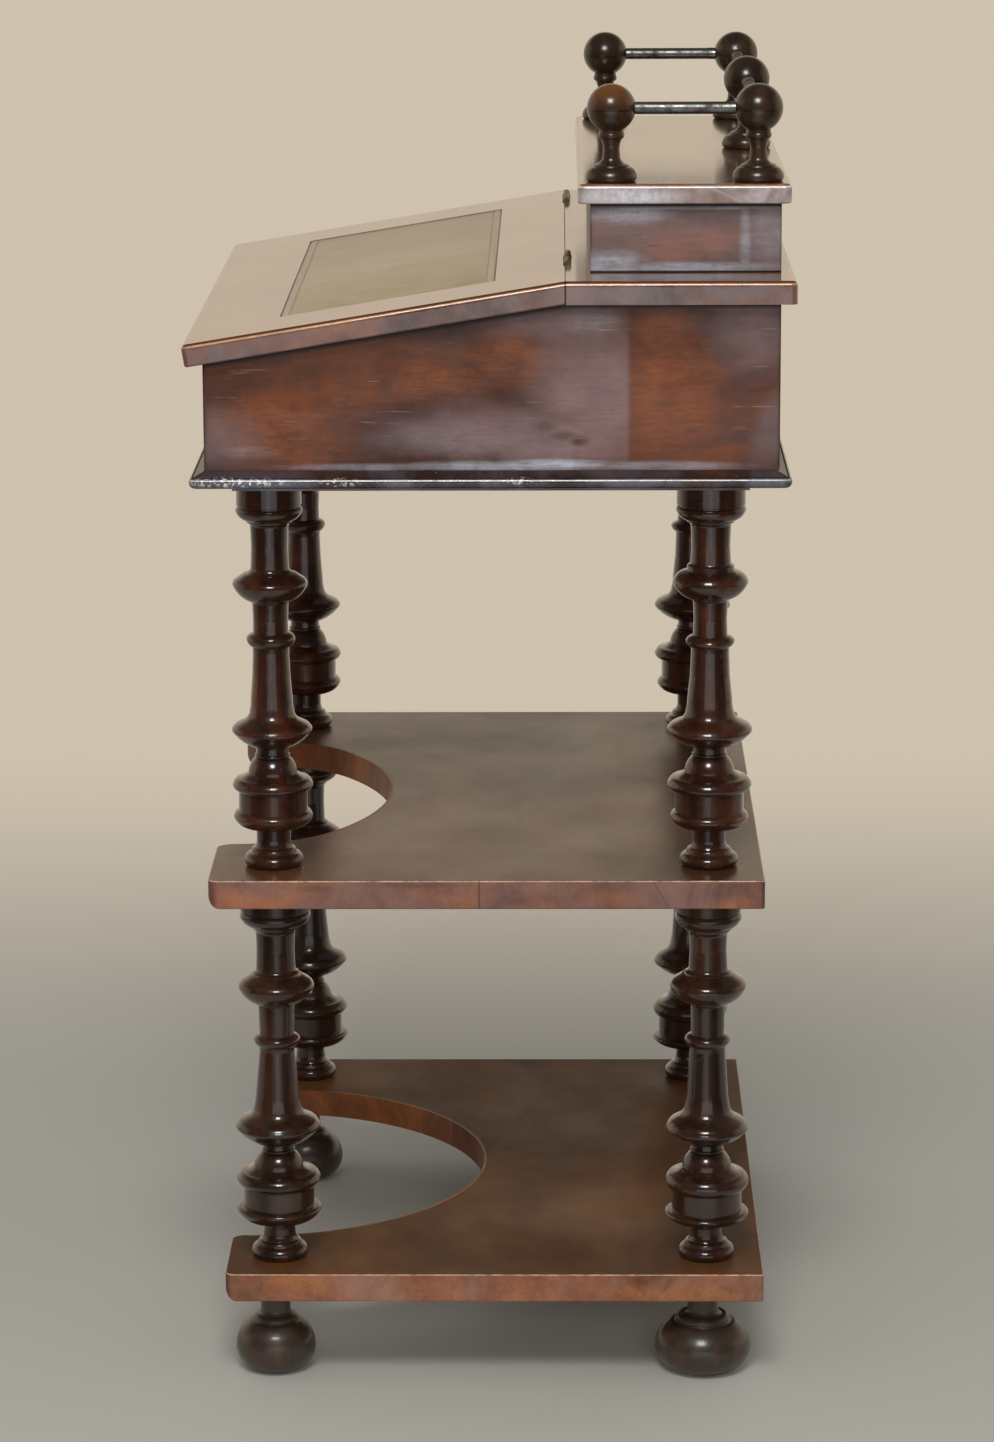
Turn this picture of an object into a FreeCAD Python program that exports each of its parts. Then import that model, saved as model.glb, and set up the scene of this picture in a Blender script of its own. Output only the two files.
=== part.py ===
import FreeCAD, Part
import math
import os

import Sketcher
from FreeCAD import Placement, Rotation, Vector

# A tall davenport desk, in millimetres.  X runs along the desk's width, with the user's right at +X.
# Y runs from the front, where the user sits, to the back.  Z is up, and the floor is at Z = 0.

SIZES = {
    # turned supports
    "columnX": 232.0,
    "frontColumnY": -165.7,
    "rearColumnY": 164.3,
    "frontFootY": -169.8,
    "rearFootY": 162.0,
    "footHeight": 69.4,
    "lowerColumnHeight": 290.8,
    "upperColumnHeight": 292.8,
    "spigotRadius": 8.0,
    "spigotReach": 15.0,
    "socketDepth": 16.0,
    "blindSpigotReach": 10.0,
    "blindMortiseDepth": 10.5,
    "fitClearance": 0.1,
    # shelves
    "shelfThickness": 22.0,
    "lowerShelfHalfWidth": 277.7,
    "lowerShelfFront": -205.4,
    "lowerShelfBack": 206.8,
    "middleShelfHalfWidth": 282.0,
    "middleShelfFront": -213.0,
    "middleShelfBack": 205.0,
    "shelfRearCorner": 2.5,
    "shelfFrontCorner": 8.0,
    "shelfNoseRadius": 10.0,
    "shelfArris": 1.2,
    "bandingThickness": 2.0,
    # knee cut-outs: a flattened arch with short straight sides and rounded mouths
    "lowerArchHalfWidth": 187.0,
    "lowerArchSpring": -185.0,
    "lowerArchApex": -11.0,
    "lowerArchSideRadius": 150.0,
    "lowerMouthRadius": 11.0,
    "middleArchHalfWidth": 171.5,
    "middleArchSpring": -199.0,
    "middleArchApex": -84.7,
    "middleArchSideRadius": 88.6,
    "middleMouthRadius": 13.0,
    "mouthRun": 40.0,
    "bandingEndGap": 0.5,
    # boards under the case
    "subBaseThickness": 6.2,
    "subBaseHalfWidth": 260.0,
    "subBaseFront": -191.0,
    "subBaseBack": 192.0,
    "topHalfWidth": 290.0,
    "baseFront": -221.0,
    "baseBack": 222.0,
    "baseCorner": 6.0,
    "noseThickness": 8.2,
    "noseTopRadius": 3.2,
    "noseBottomRadius": 4.4,
    "baseSlopeRise": 4.0,
    "baseSlopeInset": 11.0,
    "baseSlopeCorner": 0.6,
    "baseSocketDepth": 8.0,
    "topSpigotReach": 7.2,
    # case
    "caseHalfWidth": 278.0,
    "caseFront": -210.0,
    "caseBack": 213.0,
    "caseBoard": 12.0,
    "caseArris": 1.5,
    "flapRest": 0.3,
    # ledge and writing slope
    "ledgeTop": 856.0,
    "ledgeThickness": 17.0,
    "ledgeBack": 224.5,
    "jointLine": 55.6,
    "slopeFront": -225.1,
    "slopeFall": 46.3,
    "slopeThickness": 16.5,
    "topArris": 4.0,
    "lowerArris": 1.5,
    "leatherHalfWidth": 222.0,
    "leatherRear": 52.5,
    "leatherFront": 214.5,
    "leatherThickness": 1.2,
    # stationery box and its lid
    "boxHalfWidth": 239.0,
    "boxFront": 74.0,
    "boxBack": 214.6,
    "boxHeight": 51.0,
    "boxBoard": 11.0,
    "lidGap": 0.5,
    "lidHalfWidth": 250.0,
    "lidFront": 64.9,
    "lidBack": 221.5,
    "lidThickness": 14.5,
    "lidCorner": 5.0,
    # gallery
    "postX": 227.0,
    "postFrontY": 89.5,
    "postRearY": 197.5,
    "postSpigotRadius": 4.0,
    "postSpigotReach": 9.0,
    "postHoleDepth": 10.0,
    "ballCentre": 53.3,
    "ballRadius": 17.9,
    "rodRadius": 4.75,
    "rodEntry": 8.0,
    "rodClearance": 0.05,
    # butt hinges
    "leafThickness": 1.2,
    "leafSetback": 0.25,
    "pinRadius": 1.2,
    "pinClearance": 0.05,
    "knuckleClearance": 0.4,
    "webLap": 0.5,
    "flapWebHead": 0.1,
    "slopeHingeLength": 60.0,
    "slopeHingeRightX": 171.0,
    "slopeHingeLeftX": -222.0,
    "slopeKnuckleRadius": 2.7,
    "slopeAxisY": 57.5,
    "slopeAxisZ": 857.5,
    "slopeLeafHeight": 11.6,
    "lidHingeLength": 44.0,
    "lidHingeX": 150.0,
    "lidKnuckleRadius": 2.4,
    "lidAxisY": 217.2,
    "lidAxisLift": 0.2,
    "lidLeafDepth": 10.6,
    # drawers in the well
    "drawerFace": 62.0,
    "drawerFrontThickness": 10.0,
    "drawerBack": 198.0,
    "drawerHeight": 54.0,
    "drawerClearance": 0.8,
    "drawerLift": 0.2,
    "drawerHeadroom": 0.4,
    "drawerArris": 1.0,
    "drawerWall": 7.0,
    "drawerBottom": 5.0,
    "dividerThickness": 8.0,
    "dustBoardThickness": 6.0,
    "wellBoardFront": 60.0,
    "knobSpigotRadius": 2.5,
    "knobSpigotReach": 8.0,
    "knobHoleDepth": 9.0,
    # slope lock
    "lockHalfWidth": 22.0,
    "lockDepth": 14.0,
    "lockHeight": 30.0,
    "lockTop": 796.8,
    "slotHalfWidth": 3.0,
    "slotHalfDepth": 5.4,
    "slotDepth": 13.5,
    "boltRadius": 1.6,
    "boltLength": 14.0,
    "boltDrop": 6.8,
    "boltClearance": 0.05,
    "boltBoreEnd": 6.0,
    "boltSetback": 0.5,
    "boltEndGap": 0.2,
    "linkHalfWidth": 3.0,
    "linkThickness": 2.5,
    "linkHoleRadius": 2.1,
    "linkTail": 3.0,
    "linkPlateLength": 40.0,
    "linkPlateDepth": 9.0,
    "linkPlateThickness": 1.5,
    "linkPlateLift": 1.0,
    "linkSeatDepth": 2.0,
    "keyholeTop": 781.0,
    "keyholeRadius": 3.0,
    "keyholeSlotWidth": 2.6,
    "keyholeSlotDrop": 8.0,
    "linerThickness": 0.8,
}

# Turned outlines from the foot of the piece upwards: height, radius, and the radius of the arc that
# leads there.  An arc above 0 swells outwards, one below 0 is hollow, and 0 is a straight run.
PROFILES = {
    "front_foot": [
        (0, 17, 0), (17, 30.9, 19.3), (33, 26.2, 24), (38.8, 19.8, 32), (39.2, 17.6, 0), (40.8, 16.8, 0),
        (44, 13.8, 3.2), (44.5, 12.9, 0), (48, 11.5, -5), (66, 11.6, 0), (69.4, 13.5, 0),
    ],
    "rear_foot": [
        (0, 21.6, 0), (18, 37.3, 20.8), (31.4, 32.8, 20), (38, 25.2, 24), (38.6, 22, 0), (40.2, 20.6, 0),
        (44, 15, 3.8), (44.6, 14, 0), (48.4, 12, -4.8), (66, 12, 0), (69.4, 14, 0),
    ],
    "front_lower_column": [
        (0, 19, 0), (5, 22, 5.3), (10, 18.4, 7), (10.4, 17, 0), (11.4, 16.8, 0), (13.6, 15.2, 2.2),
        (14, 14.2, 0), (19.5, 12.4, -10), (24, 12, 0), (28.6, 12.6, 0), (30, 20.5, 0), (39, 32.8, 14),
        (41.4, 30.8, 2.7), (41.9, 27.2, 0), (57.4, 27.2, 0), (58.4, 28.8, 0), (63.9, 32.4, 8),
        (68.8, 29, 8), (69.2, 27.8, 0), (72.2, 20.4, -12), (73, 19, 0), (84, 13.6, 18), (84.8, 12, 0),
        (87.6, 11.8, 1.5), (90.6, 11.3, 0), (91.6, 14, 0), (103.4, 31.2, 35.2), (107.8, 31.7, 3),
        (111.4, 28.6, 8), (114.4, 22, 0), (119.4, 18.6, -12), (132, 16.6, -61.3), (166, 13.3, 0),
        (169.2, 13.6, 0), (174.8, 17.8, 7.4), (177.9, 15, 4), (178.8, 13.2, 0), (202.4, 13.8, 0),
        (203.6, 15.4, 0), (217.4, 29.1, 22), (221.8, 26.4, 6.6), (226, 19.8, 0), (226.5, 18.2, 0),
        (228, 17.8, 0), (231.4, 15, -4.6), (246, 14.5, 0), (259.6, 14.9, 0), (263.6, 17.8, -6.5),
        (265, 18.6, 0), (265.5, 20, 0), (272.6, 26.8, 11), (276.4, 26, 5.4), (276.8, 25.4, 0),
        (277.7, 25.4, 0), (278.3, 26.6, 0), (290.8, 26.6, 0),
    ],
    "rear_lower_column": [
        (0, 19, 0), (5, 21.8, 5.3), (9.4, 18.8, 6), (9.8, 17.2, 0), (10.8, 16.9, 0), (13, 15.2, 2.2),
        (13.4, 14.2, 0), (18.5, 12.2, -9), (24, 11.8, 0), (28.2, 12.5, 0), (29.5, 21, 0), (35.4, 32.4, 12),
        (37.8, 30.4, 3), (38.3, 27, 0), (54.4, 27, 0), (55.4, 28.8, 0), (61.8, 32.2, 9), (67.4, 29.2, 8),
        (67.8, 28, 0), (71.6, 20.4, -12), (72.6, 19, 0), (84, 13.6, 18), (84.8, 12.2, 0),
        (87.6, 12, 1.5), (90.6, 11.5, 0), (91.8, 14, 0), (101.6, 30, 35.2), (105.8, 31, 2.8),
        (110.2, 28, 8), (113.6, 22, 0), (118.8, 18, -12), (132, 15.8, -61.3), (166, 13.7, 0),
        (169.4, 13.9, 0), (174.6, 17.5, 7.2), (178, 14.6, 4.2), (178.8, 12.7, 0), (202, 13, 0),
        (204, 15, 0), (217.6, 29.4, 20), (222.4, 26.6, 6.6), (226.6, 20, 0), (227, 18.2, 0),
        (228.4, 17.8, 0), (232, 14.8, -4.6), (246, 14, 0), (257.8, 14.5, 0), (261.8, 17.4, -6.5),
        (263.4, 18, 0), (263.9, 19, 0), (271.2, 25.3, 12), (275.4, 24.4, 5.6), (275.8, 23.8, 0),
        (276.7, 23.8, 0), (277.3, 24.8, 0), (290.8, 24.8, 0),
    ],
    "front_upper_column": [
        (0, 19, 0), (4.8, 22.6, 5.3), (10, 18.8, 6.6), (10.4, 17.4, 0), (11.6, 17, 0), (14, 15.2, 2.4),
        (14.4, 14.2, 0), (20.5, 12.9, -14), (28.4, 12.9, 0), (30.4, 20.5, 0), (38.6, 30, 12),
        (42.7, 27.4, 5.4), (43.4, 26, 0), (58.4, 26, 0), (59.2, 27.4, 0), (63.2, 30.5, 5.4), (68, 27.4, 8),
        (68.4, 26.4, 0), (71.2, 20.2, -12), (72, 18.6, 0), (83.4, 13.8, 18), (84.2, 12.4, 0),
        (87.2, 12.2, 1.6), (91.4, 12, 0), (92.6, 14.6, 0), (103.6, 29.2, 33.5), (107.4, 29.7, 2.6),
        (110.4, 26.8, 8), (113.4, 20.6, 0), (118, 17.2, -10), (129, 15.8, -40), (147, 14.4, 0),
        (166, 13.7, 0), (169.2, 13.9, 0), (175.4, 18.4, 8), (179.2, 15.6, 4.6), (180.2, 13.4, 0),
        (190, 13.2, 0), (203, 13.7, 0), (204.4, 15.6, 0), (217.4, 28.3, 22), (221.2, 26.4, 5),
        (225.6, 19.8, 0), (226.1, 18, 0), (229.8, 14.4, -4.4), (246, 13.8, 0), (261.8, 14.4, 0),
        (264.6, 17, -4.6), (265.8, 17.6, 0), (266.3, 18.8, 0), (273, 25.1, 11), (276.2, 24, 4.4),
        (276.6, 23.5, 0), (277.5, 23.5, 0), (278.1, 24.5, 0), (292.8, 24.3, 0),
    ],
    "rear_upper_column": [
        (0, 19, 0), (4.8, 22.4, 5.3), (9.6, 19, 6.4), (10, 17.4, 0), (11.2, 17, 0), (13.6, 15.2, 2.4),
        (14, 14.2, 0), (20, 12.4, -10), (28.4, 12.6, 0), (30.2, 20.6, 0), (37.4, 29.6, 11.6), (42, 27, 5.4),
        (42.8, 26, 0), (58.2, 26, 0), (58.9, 28, 0), (63.2, 32, 5.6), (68.6, 28.6, 9),
        (69, 27.2, 0), (72.2, 20.2, -12), (73, 18.9, 0), (84, 14, 18), (84.8, 12.5, 0),
        (87.6, 12.3, 1.5), (91.6, 12.1, 0), (92.8, 14.6, 0), (103.4, 31.2, 33.5), (107, 31.7, 2.8),
        (110.6, 28, 8), (113.6, 21.4, 0), (118.2, 18.4, -10), (129, 16.9, -40), (147, 15, 0), (166, 14.3, 0),
        (168.8, 14.4, 0), (173.9, 18.5, 6.6), (177, 15, 5.4), (178, 13, 0), (190, 12.5, 0),
        (204, 13, 0), (205.8, 15, 0), (218.6, 28.4, 20), (226.8, 20.6, 10), (227.6, 18, 0),
        (231.2, 17.6, 0), (231.8, 16.6, 0), (233.4, 15.2, -2.4), (246, 14.5, 0), (261.6, 15.1, 0),
        (264.6, 17.8, -4.4), (265.8, 18.5, 0), (266.3, 19.8, 0), (273, 26.2, 11), (276.4, 25.4, 5),
        (276.8, 24.9, 0), (277.7, 24.9, 0), (278.3, 25.9, 0), (292.8, 25.7, 0),
    ],
    "gallery_post": [
        (0, 17.2, 0), (3.5, 19, 3.6), (10.2, 14.7, 9), (10.7, 13.2, 0), (11.9, 12.8, 0), (12.7, 10.8, 0),
        (17, 6.6, -6), (24, 6.1, 0), (30.8, 7.7, -17), (31.3, 8.6, 0), (35.2, 9.1, 3),
        (37.8, 8.8, 0), (53.3, 17.9, 17.9), (71.2, 0, 17.9),
    ],
    "drawer_knob": [
        (0, 4.5, 0), (1.4, 4.5, 0), (4.2, 3, -4), (5.2, 3.6, 0), (8.6, 7, 4),
        (11.2, 5.4, 2.6), (12.3, 1.5, 10),
    ],
}

KNUCKLES = 5
TINY = 0.01
CLOSE = 0.05
SPILL = 1.0

document = FreeCAD.newDocument("davenport_desk")
pieces = []


class Size:
    """A length as a number, with the sheet expression that gives it."""

    def __init__(self, value, text):
        self.value = float(value)
        self.text = text

    def join(self, other, sign, value):
        return Size(value, f"({self.text} {sign} {other.text})")

    def __add__(self, other):
        other = as_size(other)
        return self.join(other, "+", self.value + other.value)

    def __sub__(self, other):
        other = as_size(other)
        return self.join(other, "-", self.value - other.value)

    def __mul__(self, other):
        other = as_size(other)
        return self.join(other, "*", self.value * other.value)

    def __truediv__(self, other):
        other = as_size(other)
        return self.join(other, "/", self.value / other.value)

    def __radd__(self, other):
        return as_size(other) + self

    def __rsub__(self, other):
        return as_size(other) - self

    def __rmul__(self, other):
        return as_size(other) * self

    def __neg__(self):
        return Size(-self.value, f"(-{self.text})")

    def root(self):
        return Size(math.sqrt(self.value), f"sqrt({self.text})")


def as_size(number):
    return number if isinstance(number, Size) else Size(number, f"({number:.10g})")


def write_sheet(name, values):
    """A spreadsheet with one aliased number a row, and the Size of each."""
    sheet = document.addObject("Spreadsheet::Sheet", name)
    sizes = {}
    for row, (alias, value) in enumerate(values.items(), start=1):
        sheet.set(f"A{row}", alias)
        sheet.set(f"B{row}", f"{value:g}")
        sheet.setAlias(f"B{row}", alias)
        sizes[alias] = Size(value, f"{name}.{alias}")
    return sizes


def bind(item, prop, size):
    """Ties a property of an object to the sheet."""
    item.setExpression(prop, as_size(size).text)


def place(item, x=0, y=0, z=0):
    for axis, size in zip("xyz", (x, y, z)):
        bind(item, f"Placement.Base.{axis}", size)


def new_body(label):
    body = document.addObject("PartDesign::Body", label)
    body.Label = label
    pieces.append(body)
    return body


def new_sketch(body, plane, name, offset=None):
    """A sketch on one of the body's own origin planes, or on one parallel to it."""
    sketch = body.newObject("Sketcher::SketchObject", f"{body.Label}_{name}_sketch")
    features = {feature.Role: feature for feature in body.Origin.OriginFeatures}
    sketch.AttachmentSupport = [(features[plane], "")]
    sketch.MapMode = "FlatFace"
    if offset is not None:
        bind(sketch, "AttachmentOffset.Base.z", offset)
    return sketch


def arc_between(start, end, radius):
    """The short arc from start to end: it turns left for a radius above 0, and right for one below."""
    chord = end - start
    middle = (start + end) * 0.5
    reach = math.sqrt(max(radius * radius - chord.Length ** 2 / 4, 0))
    left = Vector(-chord.y, chord.x, 0).normalize()
    centre = middle + left * math.copysign(reach, radius)
    first, last = (start, end) if radius > 0 else (end, start)
    from_angle = math.atan2(first.y - centre.y, first.x - centre.x)
    to_angle = math.atan2(last.y - centre.y, last.x - centre.x)
    if to_angle < from_angle:
        to_angle += 2 * math.pi
    circle = Part.Circle(centre, Vector(0, 0, 1), abs(radius))
    return Part.ArcOfCircle(circle, from_angle, to_angle)


def draw_path(sketch, corners):
    """A closed outline.  Each corner is x, y and the radius of the arc that leads to the next one."""
    corners = [tuple(as_size(number) for number in corner) for corner in corners]
    points = [Vector(x.value, y.value, 0) for x, y, _ in corners]
    count = len(corners)
    edges = []
    for index, (_, _, radius) in enumerate(corners):
        start, end = points[index], points[(index + 1) % count]
        straight = abs(radius.value) < TINY
        edges.append(Part.LineSegment(start, end) if straight else arc_between(start, end, radius.value))
    sketch.addGeometry(edges, False)

    constraints = []
    bindings = []
    for index, (x, y, radius) in enumerate(corners):
        start_tip = 1 if radius.value > -TINY else 2
        following = (index + 1) % count
        following_tip = 1 if corners[following][2].value > -TINY else 2
        constraints.append(Sketcher.Constraint("Coincident", index, 3 - start_tip, following, following_tip))
        for kind, size, axis in (("DistanceX", x, -2), ("DistanceY", y, -1)):
            if abs(size.value) < TINY:
                constraints.append(Sketcher.Constraint("PointOnObject", index, start_tip, axis))
            else:
                bindings.append((len(constraints), f"corner{index}{kind}", size))
                constraints.append(Sketcher.Constraint(kind, -1, 1, index, start_tip, size.value))
        if abs(radius.value) > TINY:
            size = radius if radius.value > 0 else -radius
            bindings.append((len(constraints), f"arc{index}", size))
            constraints.append(Sketcher.Constraint("Radius", index, size.value))
    sketch.addConstraint(constraints)
    name_and_bind(sketch, bindings)


def draw_circles(sketch, circles):
    """Full circles, each given as x, y and radius."""
    constraints = []
    bindings = []
    for index, circle in enumerate(circles):
        x, y, radius = (as_size(number) for number in circle)
        sketch.addGeometry(Part.Circle(Vector(x.value, y.value, 0), Vector(0, 0, 1), radius.value), False)
        for kind, size, axis in (("DistanceX", x, -2), ("DistanceY", y, -1)):
            if abs(size.value) < TINY:
                constraints.append(Sketcher.Constraint("PointOnObject", index, 3, axis))
            else:
                bindings.append((len(constraints), f"centre{index}{kind}", size))
                constraints.append(Sketcher.Constraint(kind, -1, 1, index, 3, size.value))
        bindings.append((len(constraints), f"radius{index}", radius))
        constraints.append(Sketcher.Constraint("Radius", index, radius.value))
    sketch.addConstraint(constraints)
    name_and_bind(sketch, bindings)


def name_and_bind(sketch, bindings):
    for index, name, _ in bindings:
        sketch.renameConstraint(index, name)
    for _, name, size in bindings:
        bind(sketch, f"Constraints.{name}", size)


def rectangle(x_low, x_high, y_low, y_high):
    return [(x_low, y_low, 0), (x_high, y_low, 0), (x_high, y_high, 0), (x_low, y_high, 0)]


def rounded_rectangle(half_width, front, back, front_corner, rear_corner):
    return [
        (front_corner - half_width, front, 0),
        (half_width - front_corner, front, front_corner),
        (half_width, front + front_corner, 0),
        (half_width, back - rear_corner, rear_corner),
        (half_width - rear_corner, back, 0),
        (rear_corner - half_width, back, rear_corner),
        (-half_width, back - rear_corner, 0),
        (-half_width, front + front_corner, front_corner),
    ]


def pad(body, sketch, length, symmetric=False, backwards=False):
    feature = body.newObject("PartDesign::Pad", sketch.Label.replace("_sketch", "_pad"))
    feature.Profile = sketch
    bind(feature, "Length", length)
    feature.SideType = "Symmetric" if symmetric else "One side"
    feature.Reversed = backwards
    return feature


def removed(body, make_feature):
    """Runs a cut and makes sure that it takes material away."""
    document.recompute()
    before = body.Shape.Volume
    feature = make_feature()
    document.recompute()
    if body.Shape.Volume > before - TINY:
        raise RuntimeError(f"{feature.Label} cuts nothing")
    return feature


def pocket(body, sketch, length=None, symmetric=False, backwards=False):
    """A pocket of a given length, or right through where no length is given."""
    def make():
        feature = body.newObject("PartDesign::Pocket", sketch.Label.replace("_sketch", "_pocket"))
        feature.Profile = sketch
        if length is None:
            feature.Type = "ThroughAll"
        else:
            bind(feature, "Length", length)
        feature.SideType = "Symmetric" if symmetric else "One side"
        feature.Reversed = backwards
        return feature
    return removed(body, make)


def cut_box(body, name, low, high):
    """Takes a box out of a body, given its lowest and highest corner."""
    def make():
        box = body.newObject("PartDesign::SubtractiveBox", f"{body.Label}_{name}")
        for prop, start, end in zip(("Length", "Width", "Height"), low, high):
            bind(box, prop, as_size(end) - start)
        place(box, *low)
        return box
    return removed(body, make)


def cut_bore(body, name, base, direction, radius, length):
    """Takes a cylinder out of a body, from its base along a direction."""
    def make():
        bore = body.newObject("PartDesign::SubtractiveCylinder", f"{body.Label}_{name}")
        bind(bore, "Radius", radius)
        bind(bore, "Height", length)
        bore.Placement = Placement(Vector(), Rotation(Vector(0, 0, 1), direction))
        place(bore, *base)
        return bore
    return removed(body, make)


def soften(body, name, radius, choose):
    """Rounds the edges that a test of their bounding box chooses."""
    document.recompute()
    base = body.Tip
    names = [f"Edge{index}" for index, edge in enumerate(base.Shape.Edges, start=1) if choose(edge.BoundBox)]
    feature = body.newObject("PartDesign::Fillet", f"{body.Label}_{name}")
    feature.Base = (base, names)
    bind(feature, "Radius", radius)
    document.recompute()
    return feature


def near(first, second):
    return abs(first - as_size(second).value) < CLOSE


def lies_at(low, high, size):
    """True where an edge's box lies wholly at one coordinate."""
    return near(low, size) and near(high, size)


def board(label, low, high, arris=None, choose=None):
    """A plain rectangular board, with the chosen arrises softened."""
    body = new_body(label)
    sketch = new_sketch(body, "XY_Plane", "outline")
    draw_path(sketch, rectangle(low[0], high[0], low[1], high[1]))
    pad(body, sketch, as_size(high[2]) - low[2])
    place(body, z=low[2])
    if arris is not None:
        soften(body, "arrises", arris, choose)
    return body


dim = write_sheet("sizes", SIZES)
profiles = {}
for profile_name, rows in PROFILES.items():
    cells = {}
    for number, (height, radius, arc) in enumerate(rows):
        cells.update({f"height_{number}": height, f"radius_{number}": radius, f"arc_{number}": arc})
    sheet_sizes = write_sheet(profile_name + "_profile", cells)
    profiles[profile_name] = [
        tuple(sheet_sizes[f"{column}_{number}"] for column in ("height", "radius", "arc"))
        for number in range(len(rows))
    ]
document.recompute()

# Levels from the floor up.
lower_shelf_under = dim["footHeight"]
lower_shelf_top = lower_shelf_under + dim["shelfThickness"]
middle_shelf_under = lower_shelf_top + dim["lowerColumnHeight"]
middle_shelf_top = middle_shelf_under + dim["shelfThickness"]
sub_base_under = middle_shelf_top + dim["upperColumnHeight"]
base_under = sub_base_under + dim["subBaseThickness"]
base_thickness = dim["noseThickness"] + dim["baseSlopeRise"]
case_floor = base_under + base_thickness
ledge_under = dim["ledgeTop"] - dim["ledgeThickness"]
box_top = dim["ledgeTop"] + dim["boxHeight"]
lid_under = box_top + dim["lidGap"]
lid_top = lid_under + dim["lidThickness"]

# The writing slope: its fall over its run, and its surface height at a given depth.
flap_rear = dim["jointLine"] - dim["leafSetback"]
ledge_face = dim["jointLine"] + dim["leafSetback"]
slope_run = dim["jointLine"] - dim["slopeFront"]
slope_ratio = dim["slopeFall"] / slope_run
slope_length = (slope_run * slope_run + dim["slopeFall"] * dim["slopeFall"]).root()
slope_cosine = slope_run / slope_length
slope_sine = dim["slopeFall"] / slope_length
slope_drop = dim["slopeThickness"] / slope_cosine

hole_radius = dim["spigotRadius"] + dim["fitClearance"]
column_places = {
    "front_left": (-dim["columnX"], dim["frontColumnY"]),
    "front_right": (dim["columnX"], dim["frontColumnY"]),
    "rear_left": (-dim["columnX"], dim["rearColumnY"]),
    "rear_right": (dim["columnX"], dim["rearColumnY"]),
}
foot_places = {
    corner: (x, dim["frontFootY"] if corner.startswith("front") else dim["rearFootY"])
    for corner, (x, _) in column_places.items()
}


def slope_surface(depth):
    """Height of the writing surface above the floor at a depth Y."""
    return dim["ledgeTop"] - (dim["jointLine"] - depth) * slope_ratio


def case_rim(depth):
    """Height of the case's sloped rim, a little under the closed flap."""
    return slope_surface(depth) - slope_drop - dim["flapRest"]


def turned(label, profile):
    """A turned piece: one half-section revolved about the vertical axis."""
    body = new_body(label)
    corners = [(0, 0, 0)]
    rows = profiles[profile]
    for number, (height, radius, _) in enumerate(rows):
        arc = rows[number + 1][2] if number + 1 < len(rows) else 0
        corners.append((radius, height, arc))
    if rows[-1][1].value > TINY:
        corners.append((0, rows[-1][0], 0))
    sketch = new_sketch(body, "XZ_Plane", "section")
    draw_path(sketch, corners)
    feature = body.newObject("PartDesign::Revolution", f"{label}_revolution")
    feature.Profile = sketch
    feature.ReferenceAxis = (sketch, ["V_Axis"])
    feature.Angle = 360
    return body


def add_spigot(body, name, radius, length, level=None):
    """A round tenon: down from the foot of the piece, or up from the level given."""
    sketch = new_sketch(body, "XY_Plane", name, level)
    draw_circles(sketch, [(0, 0, radius)])
    pad(body, sketch, length, backwards=level is None)


def add_socket(body, level):
    """A round mortise in the top of a turned piece."""
    sketch = new_sketch(body, "XY_Plane", "socket", level)
    draw_circles(sketch, [(0, 0, hole_radius)])
    pocket(body, sketch, dim["socketDepth"])


def make_supports():
    """Feet and both tiers of columns.  Only the upper tier's spigots run right through a shelf."""
    through_shelf = dim["shelfThickness"] + dim["spigotReach"]
    for corner, (x, y) in foot_places.items():
        row = corner.split("_")[0]
        foot = turned(f"foot_{corner}", f"{row}_foot")
        add_spigot(foot, "upper_spigot", dim["spigotRadius"], dim["blindSpigotReach"], dim["footHeight"])
        place(foot, x, y)

    for corner, (x, y) in column_places.items():
        row = corner.split("_")[0]
        lower = turned(f"lower_column_{corner}", f"{row}_lower_column")
        add_spigot(lower, "lower_spigot", dim["spigotRadius"], dim["blindSpigotReach"])
        add_socket(lower, dim["lowerColumnHeight"])
        place(lower, x, y, lower_shelf_top)

        upper = turned(f"upper_column_{corner}", f"{row}_upper_column")
        add_spigot(upper, "lower_spigot", dim["spigotRadius"], through_shelf)
        top_reach = dim["subBaseThickness"] + dim["topSpigotReach"]
        add_spigot(upper, "upper_spigot", dim["spigotRadius"], top_reach, dim["upperColumnHeight"])
        place(upper, x, y, middle_shelf_top)


def arch_outline(shelf, outset, end_corners):
    """A knee cut-out: top arc, two tighter side arcs, straight sides, then the given end corners."""
    half = dim[f"{shelf}ArchHalfWidth"]
    spring = dim[f"{shelf}ArchSpring"]
    apex = dim[f"{shelf}ArchApex"]
    side_radius = dim[f"{shelf}ArchSideRadius"]
    rise = apex - spring
    top_radius = (half * half + rise * rise - 2 * half * side_radius) / (2 * (rise - side_radius))
    centre_y = apex - top_radius
    across = (half - side_radius) / (top_radius - side_radius)
    along = (spring - centre_y) / (top_radius - side_radius)
    join_x = (top_radius + outset) * across
    join_y = centre_y + (top_radius + outset) * along
    return [
        (half + outset, spring, side_radius + outset),
        (join_x, join_y, top_radius + outset),
        (-join_x, join_y, side_radius + outset),
        (-half - outset, spring, 0),
    ] + end_corners


def mouth_corners(shelf):
    """The open end of a knee cut-out, which flares round into the shelf's front edge."""
    half = dim[f"{shelf}ArchHalfWidth"]
    front = dim[f"{shelf}ShelfFront"]
    radius = dim[f"{shelf}MouthRadius"]
    return [
        (-half, front + radius, -radius),
        (-half - radius, front, 0),
        (-half - radius, front - dim["mouthRun"], 0),
        (half + radius, front - dim["mouthRun"], 0),
        (half + radius, front, -radius),
        (half, front + radius, 0),
    ]


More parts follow.
